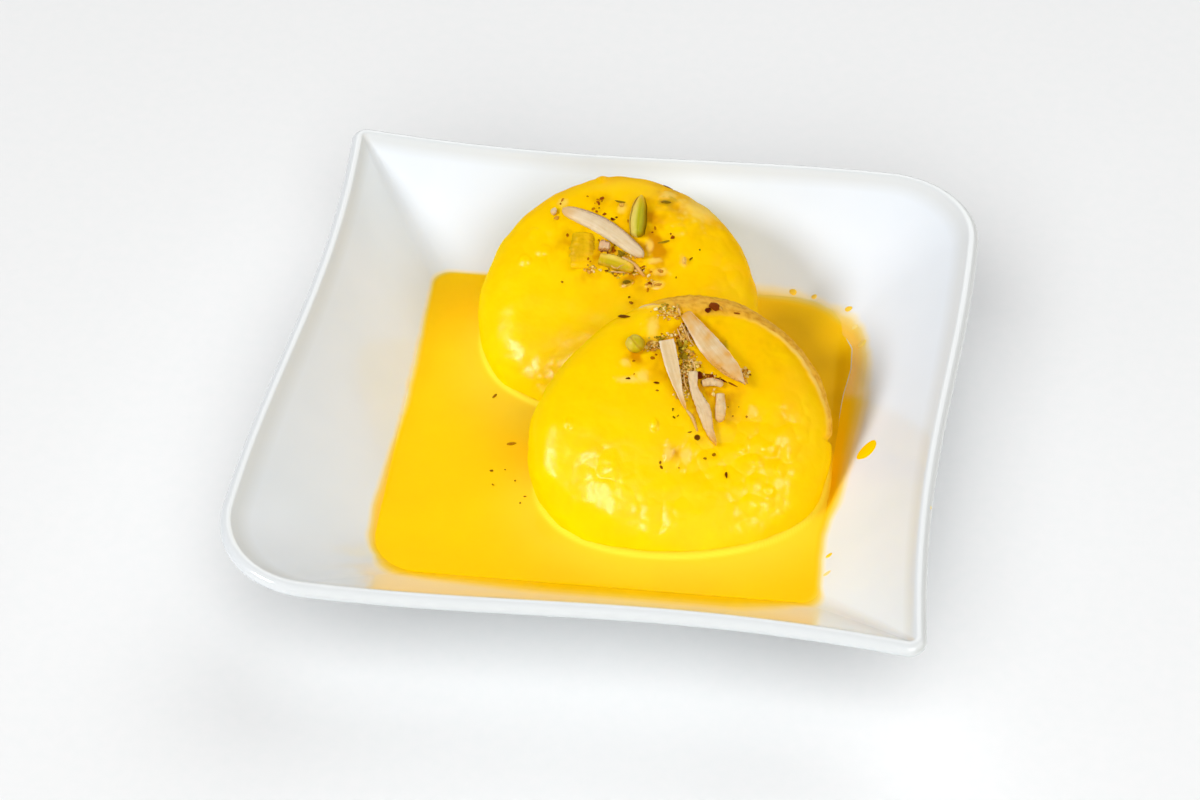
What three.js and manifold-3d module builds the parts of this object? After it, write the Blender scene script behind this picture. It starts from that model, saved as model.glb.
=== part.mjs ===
// Rasmalai in its bowl: two soft milk patties lean one on the other in a pool of saffron milk,
// under slivers of almond and pistachio, in a square porcelain bowl with wavy sides.
// Millimetres, +Z up. The origin is on the table, under the centre of the bowl, whose sides run
// along X and Y. The viewer of the serving stands at -Y.
import * as THREE from 'three'
import * as BufferGeometryUtils from 'three/addons/utils/BufferGeometryUtils.js'
import Module from 'manifold-3d'

const wasm = await Module()
wasm.setup()

// Driving dimensions
const GAP = 0.3 // left between pieces that touch
const RIM_HEIGHT = 35 // centre of the round lip, above the table
const LIP_RADIUS = 1.6
const LIP_LEAN = 42 // slope of the wall where it meets the lip, degrees
const BOWL_DEPTH = 29.2 // from the lip's centre down to the floor
const FLOOR_HALF = 31.5
const MILK_HALF = 47.2
const MILK_DEPTH_BELOW_RIM = 17.2
const WALL_SLOPE = 0.7194 // rise for each millimetre outward, at the floor
const WALL_CURVE = 0.00245 // how much the wall steepens toward the rim
const FLOOR_FILLET = 3
const BASE_THICKENING = 1.6
const FOOT_HEIGHT = 1.8
const FOOT_OUTER = 33
const FOOT_INNER = 29.5
const FOOT_EDGE = 0.5
const OPEN_ABOVE = 60 // how far the free space over the bowl is drawn up

// The bowl's plan has two pointed corners, at -X +Y and +X -Y, and two round ones. Each is an
// outline: half the diagonal between the points, the angles at which a side leaves the point and
// reaches the round corner, the pull of its curve at both ends, and the round corner's circle.
const LOWER_TURN = 2.2 // the straight-sided lower part is turned a little against the wavy rim
const RIM = {
  tip: 100.2,
  leave: -5.6,
  arrive: -0.5,
  pull: [0.43, 0.36],
  centre: 52.4,
  radius: 20.2,
  tipRadius: 2,
  turn: 0,
}
const MILK_LINE = straightSided(MILK_HALF, 10.6, 4)
const FLOOR_LINE = straightSided(FLOOR_HALF, 9, 6)
const FLOOR_RINGS = [-16, -5] // where the wall is drawn, by how far out it is from the floor's edge
const WALL_RINGS = [-1, 1.5, 5, 10, MILK_HALF - FLOOR_HALF, 23, 30]
const OUTSIDE_RINGS = [30, 23, MILK_HALF - FLOOR_HALF, 10, 6, 3]
const LIP_STEPS = 6
const TIP_STEPS = 2
const SIDE_STEPS = 11
const CORNER_STEPS = 5

// A patty is a plump disc. Its thickness above and below its own middle plane differ, and its
// outline swells and dips a little (cosine and sine parts of 2, 3 and 4 lobes).
const PATTY_ROUNDNESS = 2.8
const VIEW_TURN = 8.44 // both patties lean back along the viewer's line, which is turned by this
const BACK_PATTY = {
  centre: [-3.5, 28.6, 25.7], radius: 31, above: 11, below: 14, lean: 32, roll: -5.6,
  lobes: [[0.002, -0.009], [-0.011, -0.004], [0.007, 0.005]],
}
const FRONT_PATTY = {
  centre: [16.1, -10.3, 25.2], radius: 32, above: 11, below: 12, lean: 34, roll: 5.2,
  lobes: [[0.005, 0.018], [-0.023, -0.007], [0.008, 0.008]],
}
const PATTY_AROUND = 48
const PATTY_UP = 18

const PORCELAIN = '#f3f3f1'
const SAFFRON_MILK = '#fdcb04'
const SOAKED_PATTY = '#fed702'
const ALMOND = '#eccf95'
const PISTACHIO = '#9aa41c'
const SOAKED_PISTACHIO = '#c9a50c'
const BROWN_SKIN = '#cfa27c'

// Nuts on the patties. Places are in the patty's own plane: x to the viewer's right and y up the
// slope, from the patty's centre. A sliver runs through its places, and lift is how far its two
// ends stand off the patty.
const ON_BACK = {
  almond_sliver_back: {
    along: [[-10.8, 22.2], [-1.9, 16.9], [6.8, 9.2]], wide: [2.3, 3.8, 2.9], thick: 1.4, lift: [0.2, 0.5],
    colour: ALMOND,
  },
  almond_scrap_back: {
    along: [[-13.0, 21.3], [-12.4, 23.0]], wide: [1.0, 1.2, 0.9], thick: 0.9, lift: [0, 0], colour: ALMOND,
  },
  pistachio_sliver_back: {
    along: [[5.7, 14.3], [6.1, 18.8], [6.9, 23.8]], wide: [3.2, 3.9, 2.6], thick: 2.2, lift: [0.2, 0.2],
    colour: PISTACHIO,
  },
  pistachio_wedge_back: {
    along: [[-6.3, 15.9], [-6.9, 12.0], [-7.4, 7.8]], wide: [4.9, 5.8, 5.0], thick: 0.8, lift: [0, 0],
    colour: SOAKED_PISTACHIO,
  },
  pistachio_chip_back: {
    along: [[-3.0, 9.4], [0.4, 8.3], [4.4, 6.4]], wide: [2.7, 3.0, 1.6], thick: 1.3, lift: [0.1, 0.2],
    colour: PISTACHIO,
  },
  nut_chip_back: {
    along: [[-2.8, 12.5], [-0.6, 11.9]], wide: [2.3, 2.6, 2.0], thick: 1.5, lift: [0, 0.2],
    colour: BROWN_SKIN,
  },
}
const ON_FRONT = {
  almond_flake_front: {
    along: [[-1.9, 26.6], [4.2, 18.4], [11.4, 11.1]], wide: [2.2, 3.7, 4.7, 4.0, 0.7], thick: 0.9,
    lift: [0.4, 1.5], colour: ALMOND,
  },
  almond_sliver_front: {
    along: [[-5.6, 19.9], [-4.3, 14.8], [-3.2, 11.2], [-2.1, 8.0], [-0.8, 5.4]],
    wide: [3.1, 3.1, 2.2, 1.3, 0.8], thick: 0.9, lift: [0.9, 0.1], colour: ALMOND,
  },
  almond_shard_front: {
    along: [[0.3, 13.6], [0.7, 9.7], [2.9, 5.5], [4.3, 1.3], [6.0, -2.1]], wide: [2.1, 1.8, 2.8, 1.9, 0.6],
    thick: 1.0, lift: [0.5, 0], colour: ALMOND,
  },
  almond_chunk_front: {
    along: [[6.3, 9.1], [6.5, 6.2], [6.6, 3.2]], wide: [1.8, 2.2, 1.7], thick: 1.2, lift: [0, 0],
    colour: ALMOND,
  },
  almond_paring_front: {
    along: [[2.4, 11.1], [4.5, 11.6], [6.8, 11.2]], wide: [1.3, 1.8, 1.3], thick: 0.8, lift: [0.1, 0.1],
    colour: ALMOND,
  },
}
const PISTACHIO_NIB = { place: [-11.9, 18.7], radius: 2.0, squash: 0.85 }
const NUT_STEPS = 8 // stations along a sliver

// Crushed nut and cardamom: each strewing is a seeded scatter of grains around a place.
const GRAIN = { least: 0.45, most: 0.85, sunk: 0.35, squash: 0.7 }
const ON_BACK_GRAINS = [
  { place: [2, 6.2], spread: [5.5, 1.4], count: 9, seed: 3 },
  { place: [7, 2.2], spread: [1.2, 1.2], count: 3, seed: 5 },
]
const ON_FRONT_GRAINS = [
  { place: [-3.5, 22.8], spread: [3.6, 2.2], count: 8, seed: 7 },
  { place: [-0.8, 16.5], spread: [1.6, 3.4], count: 6, seed: 11 },
  { place: [12.9, 14.6], spread: [0.5, 0.5], count: 3, seed: 13 },
]
const MILK_FLECKS = [[-21.7, -8.1], [-28, 6.3], [-24.6, -16.9], [-19.1, -19.2]]
const FLECK_RADIUS = 0.7

const radians = THREE.MathUtils.degToRad
const floorHeight = RIM_HEIGHT - BOWL_DEPTH
const milkHeight = RIM_HEIGHT - MILK_DEPTH_BELOW_RIM
const lipReach = LIP_RADIUS * Math.sin(radians(LIP_LEAN))
const lipDrop = LIP_RADIUS * Math.cos(radians(LIP_LEAN))

// A square of this half side, with its round corners and points of these radii.
function straightSided(half, radius, tipRadius) {
  return {
    tip: half * Math.SQRT2,
    leave: 0,
    arrive: 0,
    pull: [1 / 3, 1 / 3],
    centre: half - radius,
    radius,
    tipRadius,
    turn: LOWER_TURN,
  }
}

function polar(degrees, length = 1) {
  return new THREE.Vector2(Math.cos(radians(degrees)), Math.sin(radians(degrees))).multiplyScalar(length)
}

// One closed outline, moved outward by offset, clockwise from the point at -X +Y. The side along
// +Y is drawn. The others are its mirror image in the round corners' diagonal, and both turned round.
function outline(shape, offset) {
  const halfAngle = 45 + shape.leave
  const tipRadius = Math.max(shape.tipRadius + offset, GAP)
  const toTip = polar(135)
  const sharp = toTip.clone().multiplyScalar(shape.tip + offset / Math.sin(radians(halfAngle)))
  const tipCentre = sharp.clone().addScaledVector(toTip, -tipRadius / Math.sin(radians(halfAngle)))
  const cornerCentre = new THREE.Vector2(shape.centre, shape.centre)
  const cornerRadius = shape.radius + offset
  const start = tipCentre.clone().add(polar(90 + shape.leave, tipRadius))
  const end = cornerCentre.clone().add(polar(90 + shape.arrive, cornerRadius))
  const reach = start.distanceTo(end)
  const side = new THREE.CubicBezierCurve(
    start,
    start.clone().add(polar(shape.leave, reach * shape.pull[0])),
    end.clone().sub(polar(shape.arrive, reach * shape.pull[1])),
    end,
  )
  const half = []
  for (let i = 0; i < TIP_STEPS; i++) {
    const angle = THREE.MathUtils.lerp(135, 90 + shape.leave, i / TIP_STEPS)
    half.push(tipCentre.clone().add(polar(angle, tipRadius)))
  }
  for (let i = 0; i < SIDE_STEPS; i++) half.push(side.getPoint(i / SIDE_STEPS))
  for (let i = 0; i <= CORNER_STEPS; i++) {
    const angle = THREE.MathUtils.lerp(90 + shape.arrive, 45, i / CORNER_STEPS)
    half.push(cornerCentre.clone().add(polar(angle, cornerRadius)))
  }
  const mirrored = half.slice(0, -1).reverse().map((p) => new THREE.Vector2(p.y, p.x))
  const pointToPoint = [...half, ...mirrored.slice(0, -1)]
  const round = [...pointToPoint, ...pointToPoint.map((p) => p.clone().negate())]
  return round.map((p) => p.rotateAround(new THREE.Vector2(), radians(shape.turn)))
}

// The wall is measured by how far out it is from the floor's edge, at the middle of a side.
const milkReach = MILK_HALF - FLOOR_HALF
const rimReach = 37.4

function wallHeight(reach) {
  const eased = (reach + Math.hypot(reach, FLOOR_FILLET)) / 2
  return floorHeight + WALL_SLOPE * eased + WALL_CURVE * eased * eased
}

// The wall's outline at a reach: a smooth blend of the floor's, the milk line's and the rim's.
function wallOutline(reach, offset) {
  if (reach <= 0) {
    const scale = (FLOOR_HALF + reach) / FLOOR_HALF
    return outline(FLOOR_LINE, offset).map((p) => p.multiplyScalar(scale))
  }
  const weights = [
    ((reach - milkReach) * (reach - rimReach)) / (milkReach * rimReach),
    (reach * (reach - rimReach)) / (milkReach * (milkReach - rimReach)),
    (reach * (reach - milkReach)) / (rimReach * (rimReach - milkReach)),
  ]
  const keys = [outline(FLOOR_LINE, offset), outline(MILK_LINE, offset), outline(RIM, offset - lipReach)]
  return keys[0].map((_, i) => {
    const point = new THREE.Vector2()
    keys.forEach((key, k) => point.addScaledVector(key[i], weights[k]))
    return point
  })
}

function ring(points, height) {
  return points.map((p) => new THREE.Vector3(p.x, p.y, height))
}

function centre(height) {
  return [new THREE.Vector3(0, 0, height)]
}

// A closed body from rings of equal length, the first and last a single point each.
function solidFromRings(rings) {
  const vertices = rings.flat()
  const triangles = []
  let start = 0
  for (let r = 0; r + 1 < rings.length; r++) {
    const next = start + rings[r].length
    const isRing = rings[r].length > 1
    const nextIsRing = rings[r + 1].length > 1
    const count = Math.max(rings[r].length, rings[r + 1].length)
    for (let i = 0; i < count; i++) {
      const j = (i + 1) % count
      if (isRing) triangles.push([start + i, start + j, next + (nextIsRing ? j : 0)])
      if (nextIsRing) triangles.push([start + (isRing ? i : 0), next + j, next + i])
    }
    start = next
  }
  const volume = triangles.reduce((sum, [a, b, c]) => {
    return sum + vertices[a].dot(new THREE.Vector3().crossVectors(vertices[b], vertices[c]))
  }, 0)
  const outward = volume > 0 ? triangles : triangles.map(([a, b, c]) => [a, c, b])
  const geometry = new THREE.BufferGeometry().setFromPoints(vertices)
  geometry.setIndex(outward.flat())
  return solidFromGeometry(geometry)
}

function solidFromGeometry(geometry) {
  const bare = new THREE.BufferGeometry()
  bare.setAttribute('position', geometry.getAttribute('position'))
  bare.setIndex(geometry.getIndex())
  const merged = BufferGeometryUtils.mergeVertices(bare, 1e-4)
  return new wasm.Manifold(new wasm.Mesh({
    numProp: 3,
    vertProperties: new Float32Array(merged.getAttribute('position').array),
    triVerts: new Uint32Array(merged.getIndex().array),
  }))
}

function geometryFromSolid(solid) {
  const mesh = solid.getMesh()
  const geometry = new THREE.BufferGeometry()
  geometry.setAttribute('position', new THREE.BufferAttribute(mesh.vertProperties, 3))
  geometry.setIndex(new THREE.BufferAttribute(mesh.triVerts, 1))
  return geometry
}

function dish() {
  const rings = [centre(floorHeight)]
  for (const reach of FLOOR_RINGS) rings.push(ring(wallOutline(reach, 0), floorHeight))
  for (const reach of WALL_RINGS) rings.push(ring(wallOutline(reach, 0), wallHeight(reach)))
  for (let i = 0; i <= LIP_STEPS; i++) {
    const angle = radians(90 + LIP_LEAN - (180 * i) / LIP_STEPS)
    const height = RIM_HEIGHT + LIP_RADIUS * Math.sin(angle)
    rings.push(ring(outline(RIM, LIP_RADIUS * Math.cos(angle)), height))
  }
  for (const reach of OUTSIDE_RINGS) {
    const drop = 2 * lipDrop + BASE_THICKENING * (1 - reach / rimReach)
    rings.push(ring(wallOutline(reach, 2 * lipReach), wallHeight(reach) - drop))
  }
  rings.push(ring(wallOutline(FOOT_OUTER - FLOOR_HALF, 0), FOOT_HEIGHT + FOOT_EDGE))
  rings.push(ring(wallOutline(FOOT_OUTER - FLOOR_HALF, 0), FOOT_EDGE))
  rings.push(ring(wallOutline(FOOT_OUTER - FOOT_EDGE - FLOOR_HALF, 0), 0))
  rings.push(ring(wallOutline(FOOT_INNER + FOOT_EDGE - FLOOR_HALF, 0), 0))
  rings.push(ring(wallOutline(FOOT_INNER - FLOOR_HALF, 0), FOOT_EDGE))
  rings.push(ring(wallOutline(FOOT_INNER - FLOOR_HALF, 0), FOOT_HEIGHT))
  rings.push(ring(wallOutline(FLOOR_RINGS[0], 0), FOOT_HEIGHT))
  rings.push(centre(FOOT_HEIGHT))
  return solidFromRings(rings)
}

// The free space in the bowl, a gap clear of its wall, and straight up over the rim.
function bowlSpace() {
  const rings = [centre(floorHeight + GAP), ring(wallOutline(FLOOR_RINGS[1], -GAP), floorHeight + GAP)]
  for (const reach of [...WALL_RINGS, rimReach]) {
    rings.push(ring(wallOutline(reach, -GAP), wallHeight(reach) + GAP))
  }
  rings.push(ring(wallOutline(rimReach, -GAP), OPEN_ABOVE))
  rings.push(centre(OPEN_ABOVE))
  return solidFromRings(rings)
}

function pattyPose(patty) {
  const turn = new THREE.Euler(radians(patty.lean), radians(patty.roll), radians(VIEW_TURN), 'ZYX')
  return new THREE.Matrix4().makeRotationFromEuler(turn).setPosition(...patty.centre)
}

function pattyRadius(patty, angle) {
  const swell = patty.lobes.reduce((sum, [c, s], i) => {
    return sum + c * Math.cos((i + 2) * angle) + s * Math.sin((i + 2) * angle)
  }, 1)
  return patty.radius * swell
}

// A patty, grown all round by the gap where something else is cut to it.
function pattySolid(patty, grow = 0) {
  const rings = []
  const power = 2 / PATTY_ROUNDNESS
  for (let i = 0; i <= PATTY_UP; i++) {
    const tilt = THREE.MathUtils.lerp(-90, 90, i / PATTY_UP)
    const side = Math.abs(Math.cos(radians(tilt))) ** power
    const thickness = (tilt > 0 ? patty.above : patty.below) + grow
    const height = Math.sign(tilt) * thickness * Math.abs(Math.sin(radians(tilt))) ** power
    const isPole = i === 0 || i === PATTY_UP
    const count = isPole ? 1 : PATTY_AROUND
    const points = []
    for (let j = 0; j < count; j++) {
      const angle = (2 * Math.PI * j) / PATTY_AROUND
      const radius = isPole ? 0 : (pattyRadius(patty, angle) + grow) * side
      points.push(new THREE.Vector3(radius * Math.cos(angle), radius * Math.sin(angle), height))
    }
    rings.push(points.map((p) => p.applyMatrix4(pattyPose(patty))))
  }
  return solidFromRings(rings)
}

function pattyTop(patty, x, y) {
  const share = Math.hypot(x, y) / pattyRadius(patty, Math.atan2(y, x))
  return patty.above * (1 - Math.min(share, 1) ** PATTY_ROUNDNESS) ** (1 / PATTY_ROUNDNESS)
}

// The point that stands lift off the patty's upper side over a place.
function overPatty(patty, x, y, lift) {
  const step = 0.5
  const slopeX = (pattyTop(patty, x + step, y) - pattyTop(patty, x - step, y)) / (2 * step)
  const slopeY = (pattyTop(patty, x, y + step) - pattyTop(patty, x, y - step)) / (2 * step)
  const normal = new THREE.Vector3(-slopeX, -slopeY, 1).normalize()
  const point = new THREE.Vector3(x, y, pattyTop(patty, x, y)).addScaledVector(normal, lift)
  return point.applyMatrix4(pattyPose(patty))
}

// A sliver's cross-section, as shares of its width and thickness.
const SLIVER_SECTION = [
  [-0.5, 0.4], [-0.36, 0.02], [0.36, 0], [0.5, 0.45], [0.34, 0.95], [-0.1, 1], [-0.38, 0.9],
]

// The value a share t of the way through evenly spaced values.
function valueAt(values, t) {
  const place = t * (values.length - 1)
  const before = Math.min(Math.floor(place), values.length - 2)
  return THREE.MathUtils.lerp(values[before], values[before + 1], place - before)
}

function nutSliver(patty, nut) {
  const path = new THREE.CatmullRomCurve3(nut.along.map(([x, y]) => new THREE.Vector3(x, y, 0)))
  const rings = []
  for (let i = 0; i <= NUT_STEPS; i++) {
    const t = i / NUT_STEPS
    const place = path.getPointAt(t)
    const heading = path.getTangentAt(t)
    const across = new THREE.Vector2(-heading.y, heading.x)
    const width = valueAt(nut.wide, t)
    const lift = GAP + THREE.MathUtils.lerp(nut.lift[0], nut.lift[1], t)
    const section = SLIVER_SECTION.map(([s, h]) => overPatty(
      patty, place.x + across.x * s * width, place.y + across.y * s * width, lift + h * nut.thick,
    ))
    if (i === 0) rings.push([overPatty(patty, place.x, place.y, lift + nut.thick / 2)])
    rings.push(section)
    if (i === NUT_STEPS) rings.push([overPatty(patty, place.x, place.y, lift + nut.thick / 2)])
  }
  return solidFromRings(rings)
}

function pistachioNib(patty) {
  const { place: [x, y], radius, squash } = PISTACHIO_NIB
  const ball = new THREE.SphereGeometry(radius, 12, 8)
  ball.scale(1, 1, squash)
  ball.applyMatrix4(pattyPose(patty).setPosition(overPatty(patty, x, y, radius * squash + GAP)))
  return solidFromGeometry(ball)
}

// A seeded random number generator, so that the scatter is the same every time.
function randomFrom(seed) {
  let state = seed * 7919
  return () => {
    state = (state * 1103515245 + 12345) % 2147483648
    return state / 2147483648
  }
}

function distanceToNut(x, y, nut) {
  const path = nut.along
  let least = Infinity
  for (let i = 0; i + 1 < path.length; i++) {
    const line = new THREE.Line3(new THREE.Vector3(...path[i], 0), new THREE.Vector3(...path[i + 1], 0))
    const near = line.closestPointToPoint(new THREE.Vector3(x, y, 0), true, new THREE.Vector3())
    least = Math.min(least, near.distanceTo(new THREE.Vector3(x, y, 0)) - Math.max(...nut.wide) / 2)
  }
  return least
}

function grainAt(point, radius) {
  const grain = new THREE.IcosahedronGeometry(radius, 0)
  grain.scale(1, 1, GRAIN.squash)
  grain.translate(point.x, point.y, point.z)
  const bare = new THREE.BufferGeometry().setAttribute('position', grain.getAttribute('position'))
  return solidFromGeometry(BufferGeometryUtils.mergeVertices(bare))
}

// The grains of all strewings that keep clear of the nuts, as solids to fuse to the patty.
function grains(patty, strewings, nuts) {
  const made = []
  for (const { place, spread, count, seed } of strewings) {
    const random = randomFrom(seed)
    let left = count
    for (let draw = 0; draw < 40 * count && left > 0; draw++) {
      const x = place[0] + spread[0] * (random() + random() - 1)
      const y = place[1] + spread[1] * (random() + random() - 1)
      const radius = THREE.MathUtils.lerp(GRAIN.least, GRAIN.most, random())
      const room = Math.min(
        ...Object.values(nuts).map((nut) => distanceToNut(x, y, nut)),
        ...made.map((grain) => Math.hypot(grain.x - x, grain.y - y) - grain.radius),
      )
      if (room < radius + 2 * GAP) continue
      made.push({ x, y, radius })
      left--
    }
  }
  return made.map(({ x, y, radius }) => grainAt(overPatty(patty, x, y, radius * GRAIN.sunk), radius))
}

function fuse(solid, scraps) {
  return scraps.reduce((whole, scrap) => whole.add(scrap), solid)
}

const space = bowlSpace()
const underMilkLine = solidFromGeometry(
  new THREE.BoxGeometry(4 * MILK_HALF, 4 * MILK_HALF, milkHeight).translate(0, 0, milkHeight / 2),
)
const backPatty = fuse(pattySolid(BACK_PATTY), grains(BACK_PATTY, ON_BACK_GRAINS, ON_BACK)).intersect(space)
const frontPatty = fuse(pattySolid(FRONT_PATTY), grains(FRONT_PATTY, ON_FRONT_GRAINS, ON_FRONT))
  .intersect(space)
  .subtract(pattySolid(BACK_PATTY, GAP))
const pool = space
  .intersect(underMilkLine)
  .subtract(pattySolid(BACK_PATTY, GAP))
  .subtract(pattySolid(FRONT_PATTY, GAP))
const flecks = MILK_FLECKS.map(([x, y]) => grainAt(new THREE.Vector3(x, y, milkHeight), FLECK_RADIUS))

const group = new THREE.Group()

function addMesh(name, solid, colour, roughness) {
  const material = new THREE.MeshStandardMaterial({ color: colour, roughness, metalness: 0 })
  const mesh = new THREE.Mesh(geometryFromSolid(solid), material)
  mesh.name = name
  group.add(mesh)
}

addMesh('dish', dish(), PORCELAIN, 0.12)
addMesh('saffron_milk', fuse(pool, flecks), SAFFRON_MILK, 0.15)
addMesh('patty_back', backPatty, SOAKED_PATTY, 0.3)
addMesh('patty_front', frontPatty, SOAKED_PATTY, 0.3)
for (const [patty, nuts] of [[BACK_PATTY, ON_BACK], [FRONT_PATTY, ON_FRONT]]) {
  for (const [name, nut] of Object.entries(nuts)) {
    addMesh(name, nutSliver(patty, nut), nut.colour, 0.5)
  }
}
addMesh('pistachio_nib_front', pistachioNib(FRONT_PATTY), PISTACHIO, 0.4)

export default group
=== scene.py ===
# Rasmalai: two soft curd patties in saffron milk under slivered nuts, in a wavy square porcelain bowl.
# Shapes are worked out in millimetres and turned to metres as each mesh is made.
# X and Y run along the bowl's sides; the viewer stands in front of -Y, a little to the right.
import math

import bmesh
import bpy
import numpy as np
from mathutils import Matrix, Vector, noise


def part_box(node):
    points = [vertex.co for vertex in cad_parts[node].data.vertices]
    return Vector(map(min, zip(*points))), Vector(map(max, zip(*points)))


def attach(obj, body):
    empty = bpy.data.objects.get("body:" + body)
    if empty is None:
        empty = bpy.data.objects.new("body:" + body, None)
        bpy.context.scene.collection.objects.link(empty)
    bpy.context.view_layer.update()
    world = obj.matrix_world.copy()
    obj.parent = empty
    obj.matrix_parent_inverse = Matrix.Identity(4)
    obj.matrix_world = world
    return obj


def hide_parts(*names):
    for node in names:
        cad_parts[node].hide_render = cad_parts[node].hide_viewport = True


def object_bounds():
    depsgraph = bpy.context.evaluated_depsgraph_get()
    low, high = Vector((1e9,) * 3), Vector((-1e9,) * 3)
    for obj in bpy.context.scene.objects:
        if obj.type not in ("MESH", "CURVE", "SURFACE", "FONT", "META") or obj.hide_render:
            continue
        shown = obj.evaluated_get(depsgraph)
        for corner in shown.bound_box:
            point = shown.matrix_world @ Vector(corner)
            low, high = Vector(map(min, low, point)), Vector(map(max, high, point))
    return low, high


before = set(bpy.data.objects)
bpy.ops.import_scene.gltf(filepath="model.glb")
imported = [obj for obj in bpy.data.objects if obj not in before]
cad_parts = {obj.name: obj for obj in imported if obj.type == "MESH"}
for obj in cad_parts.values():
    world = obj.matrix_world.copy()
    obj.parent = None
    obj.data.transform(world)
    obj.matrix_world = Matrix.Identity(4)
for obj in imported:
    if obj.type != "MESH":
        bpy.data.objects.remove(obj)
cad_low, cad_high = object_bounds()

MM = 0.001
BOX_LOW = np.array(cad_low) / MM
BOX_HIGH = np.array(cad_high) / MM

# The bowl
LIP_RADIUS = 1.6
LIP_LEAN = 42.0
RIM_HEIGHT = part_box("dish")[1][2] / MM - LIP_RADIUS
BOWL_DEPTH = 29.2
FLOOR_HEIGHT = RIM_HEIGHT - BOWL_DEPTH
FLOOR_HALF = 31.5
MILK_HALF = 47.2
MILK_HEIGHT = RIM_HEIGHT - 17.2
WALL_SLOPE = 0.7194
WALL_CURVE = 0.00245
FLOOR_FILLET = 3.0
BASE_THICKENING = 1.6
FOOT_HEIGHT = 1.8
FOOT_OUTER = 33.0
FOOT_INNER = 29.5
FOOT_EDGE = 0.5
LOWER_TURN = 2.2
RIM_REACH = 37.4
MILK_REACH = MILK_HALF - FLOOR_HALF
LIP_REACH = LIP_RADIUS * math.sin(math.radians(LIP_LEAN))
LIP_DROP = LIP_RADIUS * math.cos(math.radians(LIP_LEAN))
TIP_STEPS = 10
SIDE_STEPS = 64
CORNER_STEPS = 26


def straight_sided(half, radius, tip_radius):
    """The plan of a square with two round corners and two sharper ones."""
    return dict(tip=half * math.sqrt(2), leave=0.0, arrive=0.0, pull=(1 / 3, 1 / 3),
                centre=half - radius, radius=radius, tip_radius=tip_radius, turn=LOWER_TURN)


RIM = dict(tip=100.2, leave=-5.6, arrive=-0.5, pull=(0.43, 0.36),
           centre=52.4, radius=20.2, tip_radius=2.0, turn=0.0)
MILK_LINE = straight_sided(MILK_HALF, 10.6, 4.0)
FLOOR_LINE = straight_sided(FLOOR_HALF, 9.0, 6.0)

# The patties: plump discs, each leaning back along the viewer's line
VIEW_TURN = 8.44
PATTY_ROUNDNESS = 2.8
BACK = dict(
    centre=(-3.5, 28.6, 25.7), radius=31.0, above=11.0, below=14.0, lean=32.0, roll=-5.6, seed=4.0,
    lobes=((0.002, -0.009), (-0.011, -0.004), (0.007, 0.005)))
FRONT = dict(
    centre=(16.1, -10.3, 25.2), radius=32.0, above=11.0, below=12.0, lean=34.0, roll=5.2, seed=9.0,
    lobes=((0.005, 0.018), (-0.023, -0.007), (0.008, 0.008)))

# Where the skin is lumpiest: place in the patty's plane and spread
BACK["lumpy"] = (
    (2.0, 15.0, 9.0), (14.0, 19.0, 7.0), (-17.5, 15.0, 6.0), (25.0, 3.0, 8.0), (-15.0, -20.0, 7.0),
    (23.0, 15.0, 6.0),
)
FRONT["lumpy"] = (
    (17.0, -4.0, 8.0), (12.0, -14.0, 7.0), (0.0, 13.0, 8.0), (4.0, -4.0, 7.0), (25.0, 5.0, 7.0),
    (-16.0, -8.0, 5.0), (-5.0, -17.0, 5.0),
)

# Painted shade round and under the nuts, amber on the skin: place, spread and strength
BACK["amber"] = (
    (-8.5, 18.0, 2.6, 0.8), (-10.5, 13.0, 2.6, 0.6), (-6.0, 8.5, 3.6, 0.8), (-2.8, 22.8, 2.8, 0.7),
    (8.9, 18.0, 2.4, 1.1), (8.6, 13.0, 2.8, 1.2), (10.5, 10.5, 2.6, 0.7), (5.5, 7.0, 3.2, 0.9),
    (10.0, 6.0, 2.4, 0.7), (2.8, 4.4, 2.0, 0.6), (3.5, 19.5, 2.2, 0.7), (14.0, 26.0, 5.0, 0.5),
    (21.0, 20.0, 6.0, 0.4), (6.5, 3.0, 2.0, 0.5), (3.6, -1.0, 1.4, 0.5), (0.0, 12.0, 3.5, 0.7),
    (12.5, 21.5, 3.0, 0.6),
)
FRONT["amber"] = (
    (2.0, 26.5, 4.5, 0.5), (-8.0, 24.5, 3.0, 0.4), (-2.2, 22.0, 3.0, 0.9), (-1.5, 17.5, 2.8, 0.9),
    (7.0, 20.5, 2.4, 0.4), (-7.2, 12.5, 3.0, 0.45), (-8.5, 17.5, 2.2, 0.5), (-11.9, 17.2, 2.6, 1.0),
    (4.0, 9.4, 2.6, 0.9), (8.4, 8.0, 2.4, 0.7), (1.2, 4.8, 2.0, 0.8), (8.2, 3.4, 2.6, 0.4),
    (2.8, 0.0, 2.0, 0.4), (-2.6, -4.4, 2.0, 0.6), (10.5, 13.0, 2.4, 0.5), (18.0, 20.0, 5.0, 0.3),
    (0.0, 12.5, 2.8, 0.8),
)

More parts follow.
